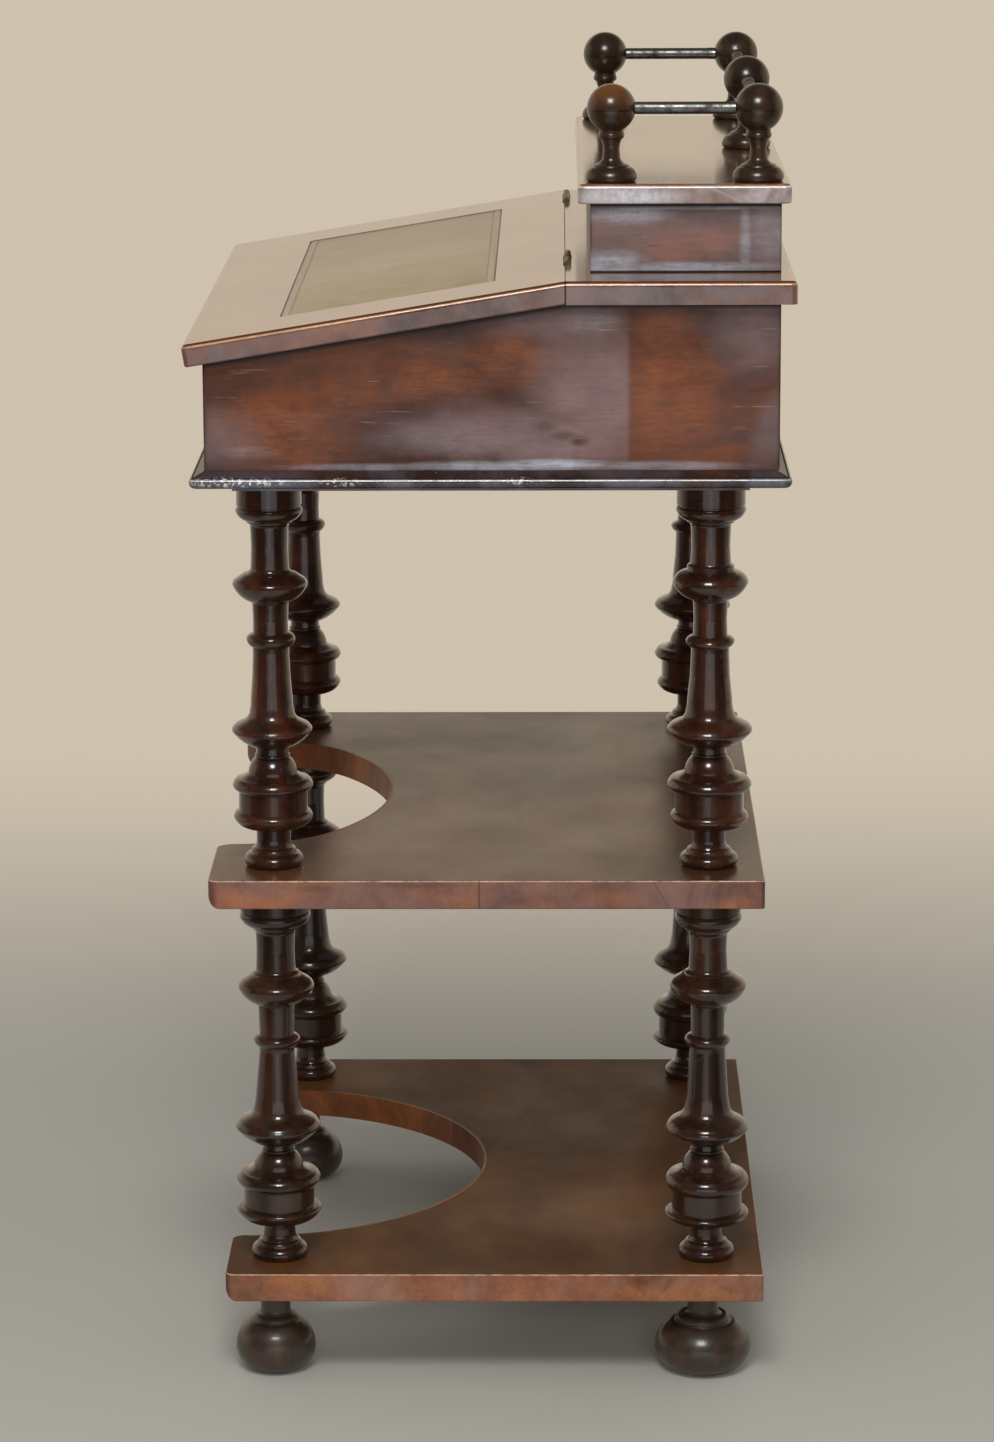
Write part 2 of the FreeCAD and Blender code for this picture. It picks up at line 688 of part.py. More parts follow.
def make_shelf(shelf, under):
    """A shelf with a knee cut-out, a rounded lower front edge and a veneer band in the cut-out."""
    front = dim[f"{shelf}ShelfFront"]
    back = dim[f"{shelf}ShelfBack"]
    half = dim[f"{shelf}ShelfHalfWidth"]
    body = new_body(f"{shelf}_shelf")
    outline = new_sketch(body, "XY_Plane", "outline")
    draw_path(outline, rounded_rectangle(half, front, back, dim["shelfFrontCorner"], dim["shelfRearCorner"]))
    pad(body, outline, dim["shelfThickness"])
    soften(
        body, "arrises", dim["shelfArris"],
        lambda box: lies_at(box.ZMin, box.ZMax, 0) or lies_at(box.ZMin, box.ZMax, dim["shelfThickness"]))

    nose = new_sketch(body, "YZ_Plane", "nose")
    radius = dim["shelfNoseRadius"]
    draw_path(nose, [(front, radius, radius), (front + radius, 0, 0), (front, 0, 0)])
    pocket(body, nose, half * 2, symmetric=True)

    cutout = new_sketch(body, "XY_Plane", "cutout")
    draw_path(cutout, arch_outline(shelf, as_size(0), mouth_corners(shelf)))
    pocket(body, cutout, backwards=True)

    band_end = front + dim[f"{shelf}MouthRadius"] + dim["bandingEndGap"]
    outer = dim[f"{shelf}ArchHalfWidth"] + dim["bandingThickness"]
    outer_ends = [(-outer, band_end, 0), (outer, band_end, 0)]
    groove = new_sketch(body, "XY_Plane", "banding_seat")
    draw_path(groove, arch_outline(shelf, dim["bandingThickness"], outer_ends))
    pocket(body, groove, backwards=True)

    if shelf == "middle":
        holes = new_sketch(body, "XY_Plane", "spigot_holes")
        draw_circles(holes, [(x, y, hole_radius) for x, y in column_places.values()])
        pocket(body, holes, backwards=True)
    else:
        mortises = new_sketch(body, "XY_Plane", "foot_mortises")
        draw_circles(mortises, [(x, y, hole_radius) for x, y in foot_places.values()])
        pocket(body, mortises, dim["blindMortiseDepth"], backwards=True)
        mortises = new_sketch(body, "XY_Plane", "column_mortises", dim["shelfThickness"])
        draw_circles(mortises, [(x, y, hole_radius) for x, y in column_places.values()])
        pocket(body, mortises, dim["blindMortiseDepth"])
    place(body, z=under)

    banding = new_body(f"{shelf}_shelf_cutout_banding")
    strip = new_sketch(banding, "XY_Plane", "strip")
    draw_path(strip, arch_outline(shelf, dim["bandingThickness"], outer_ends))
    pad(banding, strip, dim["shelfThickness"])
    inner = new_sketch(banding, "XY_Plane", "inner")
    draw_path(inner, arch_outline(shelf, as_size(0), mouth_corners(shelf)))
    pocket(banding, inner, backwards=True)
    place(banding, z=under)


def make_base():
    """The pad under the case and the base board with its bullnose edge and sloped upper face."""
    pad_board = board(
        "sub_base_board",
        (-dim["subBaseHalfWidth"], dim["subBaseFront"], sub_base_under),
        (dim["subBaseHalfWidth"], dim["subBaseBack"], base_under))
    holes = new_sketch(pad_board, "XY_Plane", "spigot_holes")
    draw_circles(holes, [(x, y, hole_radius) for x, y in column_places.values()])
    pocket(pad_board, holes, backwards=True)

    body = new_body("base_board")
    half, front, back, corner = (dim[name] for name in ("topHalfWidth", "baseFront", "baseBack", "baseCorner"))
    nose = new_sketch(body, "XY_Plane", "nose")
    draw_path(nose, rounded_rectangle(half, front, back, corner, corner))
    pad(body, nose, dim["noseThickness"])
    soften(body, "nose_under", dim["noseBottomRadius"], lambda box: lies_at(box.ZMin, box.ZMax, 0))
    top = dim["noseThickness"]
    soften(body, "nose_over", dim["noseTopRadius"], lambda box: lies_at(box.ZMin, box.ZMax, top))

    sections = []
    steps = (
        (dim["noseTopRadius"], corner - dim["noseTopRadius"], top),
        (dim["baseSlopeInset"], dim["baseSlopeCorner"], base_thickness),
    )
    for number, (inset, radius, level) in enumerate(steps):
        section = new_sketch(body, "XY_Plane", f"slope{number}", level)
        draw_path(section, rounded_rectangle(half - inset, front + inset, back - inset, radius, radius))
        sections.append(section)
    loft = body.newObject("PartDesign::AdditiveLoft", "base_board_slope")
    loft.Profile = sections[0]
    loft.Sections = sections[1:]
    loft.Ruled = True

    sockets = new_sketch(body, "XY_Plane", "spigot_sockets")
    draw_circles(sockets, [(x, y, hole_radius) for x, y in column_places.values()])
    pocket(body, sockets, dim["baseSocketDepth"], backwards=True)
    place(body, z=base_under)


def section_board(label, corners, length, middle=0):
    """A board whose section in Y and Z is extruded along X, evenly about its middle."""
    body = new_body(label)
    sketch = new_sketch(body, "YZ_Plane", "section")
    draw_path(sketch, corners)
    pad(body, sketch, length, symmetric=True)
    place(body, x=middle)
    return body


def make_case():
    """The four walls of the case: two sides with a sloped rim, the front and the back."""
    front, back, thickness = dim["caseFront"], dim["caseBack"], dim["caseBoard"]
    for side, sign in (("left", -1), ("right", 1)):
        middle = sign * (dim["caseHalfWidth"] - thickness / 2)
        corners = [
            (front, case_floor, 0),
            (back, case_floor, 0),
            (back, ledge_under, 0),
            (ledge_face, ledge_under, 0),
            (ledge_face, case_rim(ledge_face), 0),
            (front, case_rim(front), 0),
        ]
        wall = section_board(f"case_side_{side}", corners, thickness, middle)
        face = sign * dim["caseHalfWidth"].value - middle.value
        soften(
            wall, "arrises", dim["caseArris"],
            lambda box, face=face: lies_at(box.XMin, box.XMax, face) and (
                lies_at(box.YMin, box.YMax, front) or lies_at(box.YMin, box.YMax, back)))

    inner_width = 2 * (dim["caseHalfWidth"] - thickness)
    inside = front + thickness
    front_wall = section_board(
        "case_front",
        [
            (front, case_floor, 0),
            (inside, case_floor, 0),
            (inside, case_rim(inside), 0),
            (front, case_rim(front), 0),
        ],
        inner_width)
    outer_radius = dim["keyholeRadius"] + dim["linerThickness"]
    outer_half = dim["keyholeSlotWidth"] / 2 + dim["linerThickness"]
    outer_drop = dim["keyholeSlotDrop"] + dim["linerThickness"]
    keyhole = new_sketch(front_wall, "XZ_Plane", "keyhole", -front)
    draw_path(keyhole, keyhole_outline(outer_radius, outer_half, outer_drop))
    pocket(front_wall, keyhole, thickness)
    section_board("case_back", rectangle(back - thickness, back, case_floor, ledge_under), inner_width)


def keyhole_outline(radius, half_slot, drop):
    """A round hole with a slot below it."""
    shoulder = (radius * radius - half_slot * half_slot).root()
    level = dim["keyholeTop"]
    return [
        (half_slot, level - drop, 0),
        (half_slot, level - shoulder, radius),
        (radius, level, radius),
        (0, level + radius, radius),
        (-radius, level, radius),
        (-half_slot, level - shoulder, 0),
        (-half_slot, level - drop, 0),
    ]


def slope_hinge_places():
    return {"left": dim["slopeHingeLeftX"], "right": dim["slopeHingeRightX"]}


def lid_hinge_places():
    return {"left": -dim["lidHingeX"], "right": dim["lidHingeX"]}


def make_ledge():
    """The fixed ledge behind the writing slope, cut out for the slope hinges."""
    half = dim["topHalfWidth"]
    ledge = board(
        "ledge_board",
        (-half, ledge_face, ledge_under),
        (half, dim["ledgeBack"], dim["ledgeTop"]),
        dim["lidCorner"],
        lambda box: lies_at(box.YMin, box.YMax, dim["ledgeBack"]) and box.ZLength > SPILL)
    thickness = dim["ledgeThickness"]
    soften(
        ledge, "top_arris", dim["topArris"],
        lambda box: lies_at(box.ZMin, box.ZMax, thickness) and not lies_at(box.YMin, box.YMax, ledge_face))
    reach = dim["slopeKnuckleRadius"] + dim["knuckleClearance"]
    for side, x in slope_hinge_places().items():
        low_x, high_x = x - dim["slopeHingeLength"] / 2, x + dim["slopeHingeLength"] / 2
        leaf_foot = dim["slopeAxisZ"] - reach - dim["slopeLeafHeight"] - ledge_under
        cut_box(
            ledge, f"leaf_seat_{side}",
            (low_x, ledge_face - SPILL, leaf_foot),
            (high_x, ledge_face + dim["leafThickness"], thickness + SPILL))
        cut_box(
            ledge, f"knuckle_seat_{side}",
            (low_x, ledge_face - SPILL, dim["slopeAxisZ"] - reach - ledge_under),
            (high_x, dim["slopeAxisY"] + reach, thickness + SPILL))


def slope_point(distance, depth):
    """A point of the flap in Y and Z: so far down the slope from the joint line, and so deep."""
    return (
        dim["jointLine"] - distance * slope_cosine + depth * slope_sine,
        dim["ledgeTop"] - distance * slope_sine - depth * slope_cosine,
        0,
    )


def make_slope():
    """The writing flap and its leather, with seats for the hinges and the lock's link plate."""
    thickness = dim["slopeThickness"]
    corners = [
        (flap_rear, slope_surface(flap_rear), 0),
        slope_point(slope_length, as_size(0)),
        slope_point(slope_length, thickness),
        (flap_rear, slope_surface(flap_rear) - slope_drop, 0),
    ]
    flap = section_board("slope_board", corners, 2 * dim["topHalfWidth"])
    half = dim["topHalfWidth"].value
    front_top, front_under = dim["slopeFront"].value, slope_point(slope_length, thickness)[0].value
    rear = flap_rear.value

    def top_edge(box):
        on_side = lies_at(box.XMin, box.XMax, half) or lies_at(box.XMin, box.XMax, -half)
        on_front = lies_at(box.YMin, box.YMax, front_top)
        upper = near(box.ZMax, slope_surface(flap_rear)) and near(box.YMin, front_top)
        corner = near(box.YMin, front_top) and near(box.YMax, front_under)
        return on_front or (on_side and (upper or corner))

    def lower_edge(box):
        on_front = lies_at(box.YMin, box.YMax, front_under) and box.XLength > half
        return on_front and not near(box.YMin, rear)

    soften(flap, "top_arris", dim["topArris"], top_edge)
    soften(flap, "lower_arris", dim["lowerArris"], lower_edge)

    leather = [
        slope_point(dim["leatherRear"], as_size(0)),
        slope_point(dim["leatherFront"], as_size(0)),
        slope_point(dim["leatherFront"], dim["leatherThickness"]),
        slope_point(dim["leatherRear"], dim["leatherThickness"]),
    ]
    recess = new_sketch(flap, "YZ_Plane", "leather_recess")
    draw_path(recess, leather)
    pocket(flap, recess, 2 * dim["leatherHalfWidth"], symmetric=True)
    section_board("leather_inset", leather, 2 * dim["leatherHalfWidth"])

    reach = dim["slopeKnuckleRadius"] + dim["knuckleClearance"]
    for side, x in slope_hinge_places().items():
        low_x, high_x = x - dim["slopeHingeLength"] / 2, x + dim["slopeHingeLength"] / 2
        seat_top = dim["slopeAxisZ"] - reach
        cut_box(
            flap, f"leaf_seat_{side}",
            (low_x, flap_rear - dim["leafThickness"], seat_top - dim["slopeLeafHeight"]),
            (high_x, flap_rear + SPILL, dim["slopeAxisZ"]))
    link_y = lock_middle()
    cut_box(
        flap, "link_plate_seat",
        (-dim["linkPlateLength"] / 2, link_y - dim["linkPlateDepth"] / 2, dim["lockTop"] - dim["linkSeatDepth"]),
        (dim["linkPlateLength"] / 2, link_y + dim["linkPlateDepth"] / 2, link_plate_top()))


def lock_middle():
    return dim["caseFront"] + dim["caseBoard"] + dim["lockDepth"] / 2


def link_plate_top():
    """The link plate lies level, let in far enough to clear the lock's top."""
    return dim["lockTop"] + dim["linkPlateLift"] + dim["linkPlateThickness"]


def knuckle_spans(length):
    """The stretches of a hinge's knuckles along X from its middle, in order."""
    step = length / KNUCKLES
    return [(step * number - length / 2, step * (number + 1) - length / 2) for number in range(KNUCKLES)]


def hinge_leaf(label, radius, length, plate, web, gap, own, at):
    """A butt hinge leaf about its pin: a plate, its knuckles and the webs that carry them."""
    body = new_body(label)
    for name, corners in (("plate", plate), ("web", web)):
        sketch = new_sketch(body, "YZ_Plane", name)
        draw_path(sketch, rectangle(*corners))
        pad(body, sketch, length, symmetric=True)
    barrel = new_sketch(body, "YZ_Plane", "barrel")
    draw_circles(barrel, [(0, 0, radius)])
    pad(body, barrel, length, symmetric=True)
    bore = new_sketch(body, "YZ_Plane", "bore")
    draw_circles(bore, [(0, 0, dim["pinRadius"] + dim["pinClearance"])])
    pocket(body, bore, length * 2, symmetric=True)
    clearance = dim["leafSetback"] / 2
    for number, (start, end) in enumerate(knuckle_spans(length)):
        if number % 2 != own:
            cut_box(
                body, f"gap{number}",
                (start - clearance, gap[0], gap[2]),
                (end + clearance, gap[1], gap[3]))
    place(body, *at)
    return body


def make_slope_hinges():
    """Butt hinges let into the joint between the ledge and the flap."""
    radius = dim["slopeKnuckleRadius"]
    reach = radius + dim["knuckleClearance"]
    foot = -reach - dim["slopeLeafHeight"]
    gap = (-radius - SPILL * 2, radius + SPILL * 2, -reach, radius + SPILL)
    case_face = ledge_face - dim["slopeAxisY"]
    flap_face = flap_rear - dim["slopeAxisY"]
    thickness = dim["leafThickness"]
    for side, x in slope_hinge_places().items():
        at = (x, dim["slopeAxisY"], dim["slopeAxisZ"])
        hinge_leaf(
            f"slope_hinge_{side}_case_leaf", radius, dim["slopeHingeLength"],
            (case_face, case_face + thickness, foot, -reach),
            (case_face, case_face + thickness, -reach - dim["webLap"], -dim["webLap"]), gap, 0, at)
        hinge_leaf(
            f"slope_hinge_{side}_flap_leaf", radius, dim["slopeHingeLength"],
            (flap_face - thickness, flap_face, foot, -reach),
            (flap_face - thickness, flap_face, -reach - dim["webLap"], -dim["flapWebHead"]), gap, 1, at)


def make_lid_hinges():
    """Butt hinges let in between the stationery box's back and its lid."""
    radius = dim["lidKnuckleRadius"]
    reach = radius + dim["knuckleClearance"] / 2
    axis_z = box_top + dim["lidAxisLift"]
    wall_face = dim["boxBack"] - dim["lidAxisY"]
    start = wall_face - dim["lidLeafDepth"]
    gap = (-reach, radius + SPILL, -radius - SPILL, radius + SPILL)
    box_plate = (box_top - dim["leafThickness"] - axis_z, box_top - axis_z)
    lid_plate = (lid_under - axis_z, lid_under + dim["leafThickness"] - axis_z)
    for side, x in lid_hinge_places().items():
        at = (x, dim["lidAxisY"], axis_z)
        for leaf, (low, high), own in (("box", box_plate, 0), ("lid", lid_plate, 1)):
            hinge_leaf(
                f"lid_hinge_{side}_{leaf}_leaf", radius, dim["lidHingeLength"],
                (start, -reach, low, high),
                (-reach - dim["webLap"], -dim["pinRadius"], low, high), gap, own, at)


def make_pins():
    """The four hinge pins: one group of separate rods."""
    pins = []
    slope_at = (dim["slopeHingeLength"], dim["slopeAxisY"], dim["slopeAxisZ"])
    lid_at = (dim["lidHingeLength"], dim["lidAxisY"], box_top + dim["lidAxisLift"])
    for places, (length, y, z) in ((slope_hinge_places(), slope_at), (lid_hinge_places(), lid_at)):
        for x in places.values():
            pin = document.addObject("Part::Cylinder", "pin")
            bind(pin, "Radius", dim["pinRadius"])
            bind(pin, "Height", length)
            pin.Placement = Placement(Vector(), Rotation(Vector(0, 1, 0), 90))
            place(pin, x - length / 2, y, z)
            pins.append(pin)
    group = document.addObject("Part::Compound", "hinge_pins")
    group.Label = "hinge_pins"
    group.Links = pins
    pieces.append(group)


def make_stationery_box():
    """The box on the ledge: ends, front and back."""
    half, front, back, thickness = (dim[name] for name in ("boxHalfWidth", "boxFront", "boxBack", "boxBoard"))
    level = dim["ledgeTop"]
    for side, sign in (("left", -1), ("right", 1)):
        outer, inner = sign * half, sign * (half - thickness)
        low_x, high_x = (outer, inner) if sign < 0 else (inner, outer)
        board(
            f"stationery_side_{side}", (low_x, front, level), (high_x, back, box_top), dim["caseArris"],
            lambda box, outer=outer: lies_at(box.XMin, box.XMax, outer) and box.ZLength > SPILL)
    inner_half = half - thickness
    board("stationery_front", (-inner_half, front, level), (inner_half, front + thickness, box_top))
    rear = board("stationery_back", (-inner_half, back - thickness, level), (inner_half, back, box_top))
    height = dim["boxHeight"]
    for side, x in lid_hinge_places().items():
        cut_box(
            rear, f"leaf_seat_{side}",
            (x - dim["lidHingeLength"] / 2, back - dim["lidLeafDepth"], height - dim["leafThickness"]),
            (x + dim["lidHingeLength"] / 2, back + SPILL, height + SPILL))


def post_places():
    return {
        "front_left": (-dim["postX"], dim["postFrontY"]),
        "front_right": (dim["postX"], dim["postFrontY"]),
        "rear_left": (-dim["postX"], dim["postRearY"]),
        "rear_middle": (as_size(0), dim["postRearY"]),
        "rear_right": (dim["postX"], dim["postRearY"]),
    }


def make_lid():
    """The stationery lid, seated on its hinges and bored for the gallery posts."""
    half, front, back = dim["lidHalfWidth"], dim["lidFront"], dim["lidBack"]
    lid = board(
        "lid_board", (-half, front, lid_under), (half, back, lid_top), dim["lidCorner"],
        lambda box: box.ZLength > SPILL)
    thickness = dim["lidThickness"]
    soften(lid, "top_arris", dim["topArris"], lambda box: lies_at(box.ZMin, box.ZMax, thickness))
    soften(lid, "lower_arris", dim["lowerArris"], lambda box: lies_at(box.ZMin, box.ZMax, 0))
    reach = dim["lidKnuckleRadius"] + dim["knuckleClearance"]
    for side, x in lid_hinge_places().items():
        low_x, high_x = x - dim["lidHingeLength"] / 2, x + dim["lidHingeLength"] / 2
        cut_box(
            lid, f"leaf_seat_{side}",
            (low_x, dim["boxBack"] - dim["lidLeafDepth"], as_size(-SPILL)),
            (high_x, dim["lidAxisY"], dim["leafThickness"]))
        cut_box(
            lid, f"knuckle_seat_{side}",
            (low_x, dim["lidAxisY"] - reach, as_size(-SPILL)),
            (high_x, back + SPILL, box_top + dim["lidAxisLift"] + reach - lid_under))
    holes = new_sketch(lid, "XY_Plane", "post_holes", thickness)
    hole = dim["postSpigotRadius"] + dim["fitClearance"]
    draw_circles(holes, [(x, y, hole) for x, y in post_places().values()])
    pocket(lid, holes, dim["postHoleDepth"])


def make_gallery():
    """Five turned ball posts on the lid and the four rods between them."""
    left, right, front, rear = Vector(-1, 0, 0), Vector(1, 0, 0), Vector(0, -1, 0), Vector(0, 1, 0)
    rods_meet = {
        "front_left": (rear,),
        "front_right": (rear,),
        "rear_left": (front, right),
        "rear_middle": (left, right),
        "rear_right": (front, left),
    }
    reach = dim["ballRadius"] - dim["rodEntry"]
    for name, (x, y) in post_places().items():
        post = turned(f"gallery_post_{name}", "gallery_post")
        add_spigot(post, "spigot", dim["postSpigotRadius"], dim["postSpigotReach"])
        for number, direction in enumerate(rods_meet[name]):
            base = (reach * direction.x, reach * direction.y, dim["ballCentre"])
            bore = dim["rodRadius"] + dim["rodClearance"]
            cut_bore(post, f"rod_hole{number}", base, direction, bore, dim["rodEntry"] * 2)
        place(post, x, y, lid_top)

    level = lid_top + dim["ballCentre"]
    side_length = dim["postRearY"] - dim["postFrontY"] - 2 * reach
    rear_length = dim["postX"] - 2 * reach
    rods = {
        "left": ((-dim["postX"], dim["postFrontY"] + reach, level), rear, side_length),
        "right": ((dim["postX"], dim["postFrontY"] + reach, level), rear, side_length),
        "rear_left": ((reach - dim["postX"], dim["postRearY"], level), right, rear_length),
        "rear_right": ((reach, dim["postRearY"], level), right, rear_length),
    }
    for name, (base, direction, length) in rods.items():
        rod = document.addObject("Part::Cylinder", f"gallery_rod_{name}")
        rod.Label = f"gallery_rod_{name}"
        bind(rod, "Radius", dim["rodRadius"])
        bind(rod, "Height", length)
        rod.Placement = Placement(Vector(), Rotation(Vector(0, 0, 1), direction))
        place(rod, *base)
        pieces.append(rod)


def make_well():
    """Two drawers side by side in the well, the divider between them and the dust board above."""
    inside = dim["caseHalfWidth"] - dim["caseBoard"]
    divider_half = dim["dividerThickness"] / 2
    dust_under = case_floor + dim["drawerLift"] + dim["drawerHeight"] + dim["drawerHeadroom"]
    back = dim["caseBack"] - dim["caseBoard"]
    board("drawer_divider", (-divider_half, dim["wellBoardFront"], case_floor), (divider_half, back, dust_under))
    board(
        "drawer_dust_board", (-inside, dim["wellBoardFront"], dust_under),
        (inside, back, dust_under + dim["dustBoardThickness"]))

    floor = case_floor + dim["drawerLift"]
    top = floor + dim["drawerHeight"]
    face_back = dim["drawerFace"] + dim["drawerFrontThickness"]
    wall = dim["drawerWall"]
    width = inside - divider_half - 2 * dim["drawerClearance"]
    for side, sign in (("left", -1), ("right", 1)):
        middle = sign * (inside + divider_half) / 2
        low_x, high_x = middle - width / 2, middle + width / 2
        board(
            f"drawer_{side}_front", (low_x, dim["drawerFace"], floor), (high_x, face_back, top),
            dim["drawerArris"], lambda box: lies_at(box.YMin, box.YMax, dim["drawerFace"]))
        tray = board(f"drawer_{side}_tray", (low_x, face_back, floor), (high_x, dim["drawerBack"], top))
        cut_box(
            tray, "inside",
            (low_x + wall, face_back - SPILL, dim["drawerBottom"]),
            (high_x - wall, dim["drawerBack"] - wall, dim["drawerHeight"] + SPILL))
        front_board = pieces[-2]
        level = dim["drawerHeight"] / 2
        knob_hole = dim["knobSpigotRadius"] + dim["fitClearance"]
        cut_bore(
            front_board, "knob_hole", (middle, dim["drawerFace"] - SPILL, level), Vector(0, 1, 0),
            knob_hole, dim["knobHoleDepth"] + SPILL)
        knob = turned(f"drawer_{side}_knob", "drawer_knob")
        add_spigot(knob, "spigot", dim["knobSpigotRadius"], dim["knobSpigotReach"])
        knob.Placement = Placement(Vector(), Rotation(Vector(0, 0, 1), Vector(0, -1, 0)))
        place(knob, middle, dim["drawerFace"], floor + level)


def make_lock():
    """The slope lock: case, bolt, the link plate on the flap and the keyhole liner."""
    middle = lock_middle()
    half, height = dim["lockHalfWidth"], dim["lockHeight"]
    inner_face = dim["caseFront"] + dim["caseBoard"]
    level = dim["lockTop"] - height
    case = board(
        "lock_case", (-half, inner_face, level), (half, inner_face + dim["lockDepth"], dim["lockTop"]))
    bolt_level = height - dim["boltDrop"]
    cut_box(
        case, "slot",
        (-dim["slotHalfWidth"], middle - dim["slotHalfDepth"], height - dim["slotDepth"]),
        (dim["slotHalfWidth"], middle + dim["slotHalfDepth"], height + SPILL))
    start = -dim["slotHalfWidth"] - dim["boltSetback"] - dim["boltLength"]
    bore = dim["boltRadius"] + dim["boltClearance"]
    cut_bore(
        case, "bolt_bore", (start - dim["boltEndGap"], middle, bolt_level), Vector(1, 0, 0),
        bore, dim["boltBoreEnd"] - start)

    bolt = document.addObject("Part::Cylinder", "lock_bolt")
    bolt.Label = "lock_bolt"
    bind(bolt, "Radius", dim["boltRadius"])
    bind(bolt, "Height", dim["boltLength"])
    bolt.Placement = Placement(Vector(), Rotation(Vector(0, 1, 0), 90))
    place(bolt, start, middle, level + bolt_level)
    pieces.append(bolt)

    top = link_plate_top()
    under = top - dim["linkPlateThickness"]
    plate_half, plate_depth = dim["linkPlateLength"] / 2, dim["linkPlateDepth"] / 2
    plate = board(
        "lock_link_plate", (-plate_half, middle - plate_depth, under), (plate_half, middle + plate_depth, top))
    tail = level + bolt_level - under
    link = new_sketch(plate, "YZ_Plane", "link")
    link_foot = tail - dim["boltRadius"] - dim["linkTail"]
    width = dim["linkHalfWidth"]
    draw_path(link, rectangle(middle - width, middle + width, link_foot, dim["linkPlateThickness"] / 2))
    pad(plate, link, dim["linkThickness"], symmetric=True)
    cut_bore(
        plate, "bolt_eye", (-dim["linkThickness"], middle, tail), Vector(1, 0, 0),
        dim["linkHoleRadius"], dim["linkThickness"] * 2)

    liner = new_body("keyhole_liner")
    thickness = dim["linerThickness"]
    half_slot = dim["keyholeSlotWidth"] / 2
    outer = new_sketch(liner, "XZ_Plane", "outer", -dim["caseFront"])
    draw_path(outer, keyhole_outline(
        dim["keyholeRadius"] + thickness, half_slot + thickness, dim["keyholeSlotDrop"] + thickness))
    pad(liner, outer, dim["caseBoard"], backwards=True)
    inner = new_sketch(liner, "XZ_Plane", "inner", -dim["caseFront"])
    draw_path(inner, keyhole_outline(dim["keyholeRadius"], half_slot, dim["keyholeSlotDrop"]))
    pocket(liner, inner, dim["caseBoard"])


make_supports()
make_shelf("lower", lower_shelf_under)
make_shelf("middle", middle_shelf_under)
make_base()
make_case()
make_ledge()
make_slope()
make_slope_hinges()
make_lid_hinges()
make_pins()
make_stationery_box()
make_lid()
make_gallery()
make_well()
make_lock()
document.recompute()

faults = [item.Label for item in document.Objects if {"Invalid", "Error"} & set(item.State)]
faults += [piece.Label for piece in pieces if piece.Shape.isNull() or not piece.Shape.isValid()]
if faults:
    raise RuntimeError("these failed: " + ", ".join(faults))

os.makedirs("parts", exist_ok=True)
for piece in pieces:
    piece.Shape.exportStep(os.path.join("parts", piece.Label + ".step"))
print(len(pieces), "pieces")
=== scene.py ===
import math
from fnmatch import fnmatch

import bpy
from mathutils import Matrix, Vector


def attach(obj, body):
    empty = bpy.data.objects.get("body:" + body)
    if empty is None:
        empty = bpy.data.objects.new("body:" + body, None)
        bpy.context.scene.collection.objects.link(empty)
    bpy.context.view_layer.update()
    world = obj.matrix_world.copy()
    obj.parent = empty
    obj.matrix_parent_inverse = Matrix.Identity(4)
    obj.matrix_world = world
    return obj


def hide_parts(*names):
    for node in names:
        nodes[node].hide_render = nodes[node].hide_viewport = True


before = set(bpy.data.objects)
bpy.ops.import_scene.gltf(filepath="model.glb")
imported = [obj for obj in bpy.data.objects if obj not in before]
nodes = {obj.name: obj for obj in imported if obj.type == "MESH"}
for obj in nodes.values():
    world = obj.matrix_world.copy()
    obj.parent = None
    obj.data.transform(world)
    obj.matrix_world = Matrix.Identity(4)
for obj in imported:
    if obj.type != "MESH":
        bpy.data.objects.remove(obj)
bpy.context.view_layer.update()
print("frame loaded with", len(nodes), "nodes")


viewSettings = {
    "place": (3.6589, 0.0507, 1.3138),
    "turn": 90.78,  # degrees about Z, 90 looks along -X
    "tilt": 13.11,  # degrees down
    "roll": 0.23,
    "lens": 116.54,
    "farthest": 100,
}


def makeCamera(settings):
    data = bpy.data.cameras.new("deskCamera")
    data.lens = settings["lens"]
    data.clip_end = settings["farthest"]
    camera = bpy.data.objects.new("deskCamera", data)
    bpy.context.scene.collection.objects.link(camera)
    turn = Matrix.Rotation(math.radians(settings["turn"]), 4, "Z")
    tilt = Matrix.Rotation(math.radians(90 - settings["tilt"]), 4, "X")
    roll = Matrix.Rotation(math.radians(-settings["roll"]), 4, "Z")
    camera.matrix_world = Matrix.Translation(settings["place"]) @ turn @ tilt @ roll
    bpy.context.scene.camera = camera


lampSettings = {
    "key": {
        "place": (2.35, -0.12, 2.75), "target": (0, 0, 0.62), "width": 1.0, "height": 0.85,
        "power": 42, "colour": (1.0, 0.985, 0.96),
    },
    "spark": {  # the bright middle of the key's highlight
        "place": (2.34, -0.12, 2.74), "target": (0, 0, 0.62), "width": 0.44, "height": 0.40,
        "power": 8.0, "colour": (1.0, 1.0, 1.0),
    },
    "low": {
        "place": (2.30, 0.05, 0.33), "target": (0, 0, 0.50), "width": 2.1, "height": 0.62,
        "power": 3.8, "colour": (0.93, 0.96, 1.0),
    },
    "fill": {
        "place": (3.30, 0.25, 1.05), "target": (0, 0, 0.60), "width": 1.6, "height": 1.0,
        "power": 34, "colour": (1.0, 0.98, 0.95), "mirrored": False,  # too soft to show in polish
    },
}


def makeLamp(name, settings):
    data = bpy.data.lights.new(name, "AREA")
    data.shape = "RECTANGLE"
    data.size = settings["width"]
    data.size_y = settings["height"]
    data.energy = settings["power"]
    data.color = settings["colour"]
    lamp = bpy.data.objects.new(name, data)
    bpy.context.scene.collection.objects.link(lamp)
    lamp.location = settings["place"]
    aim = Vector(settings["target"]) - Vector(settings["place"])
    lamp.rotation_mode = "QUATERNION"
    lamp.rotation_quaternion = aim.to_track_quat("-Z", "Y")
    lamp.visible_camera = False
    lamp.visible_glossy = settings.get("mirrored", True)


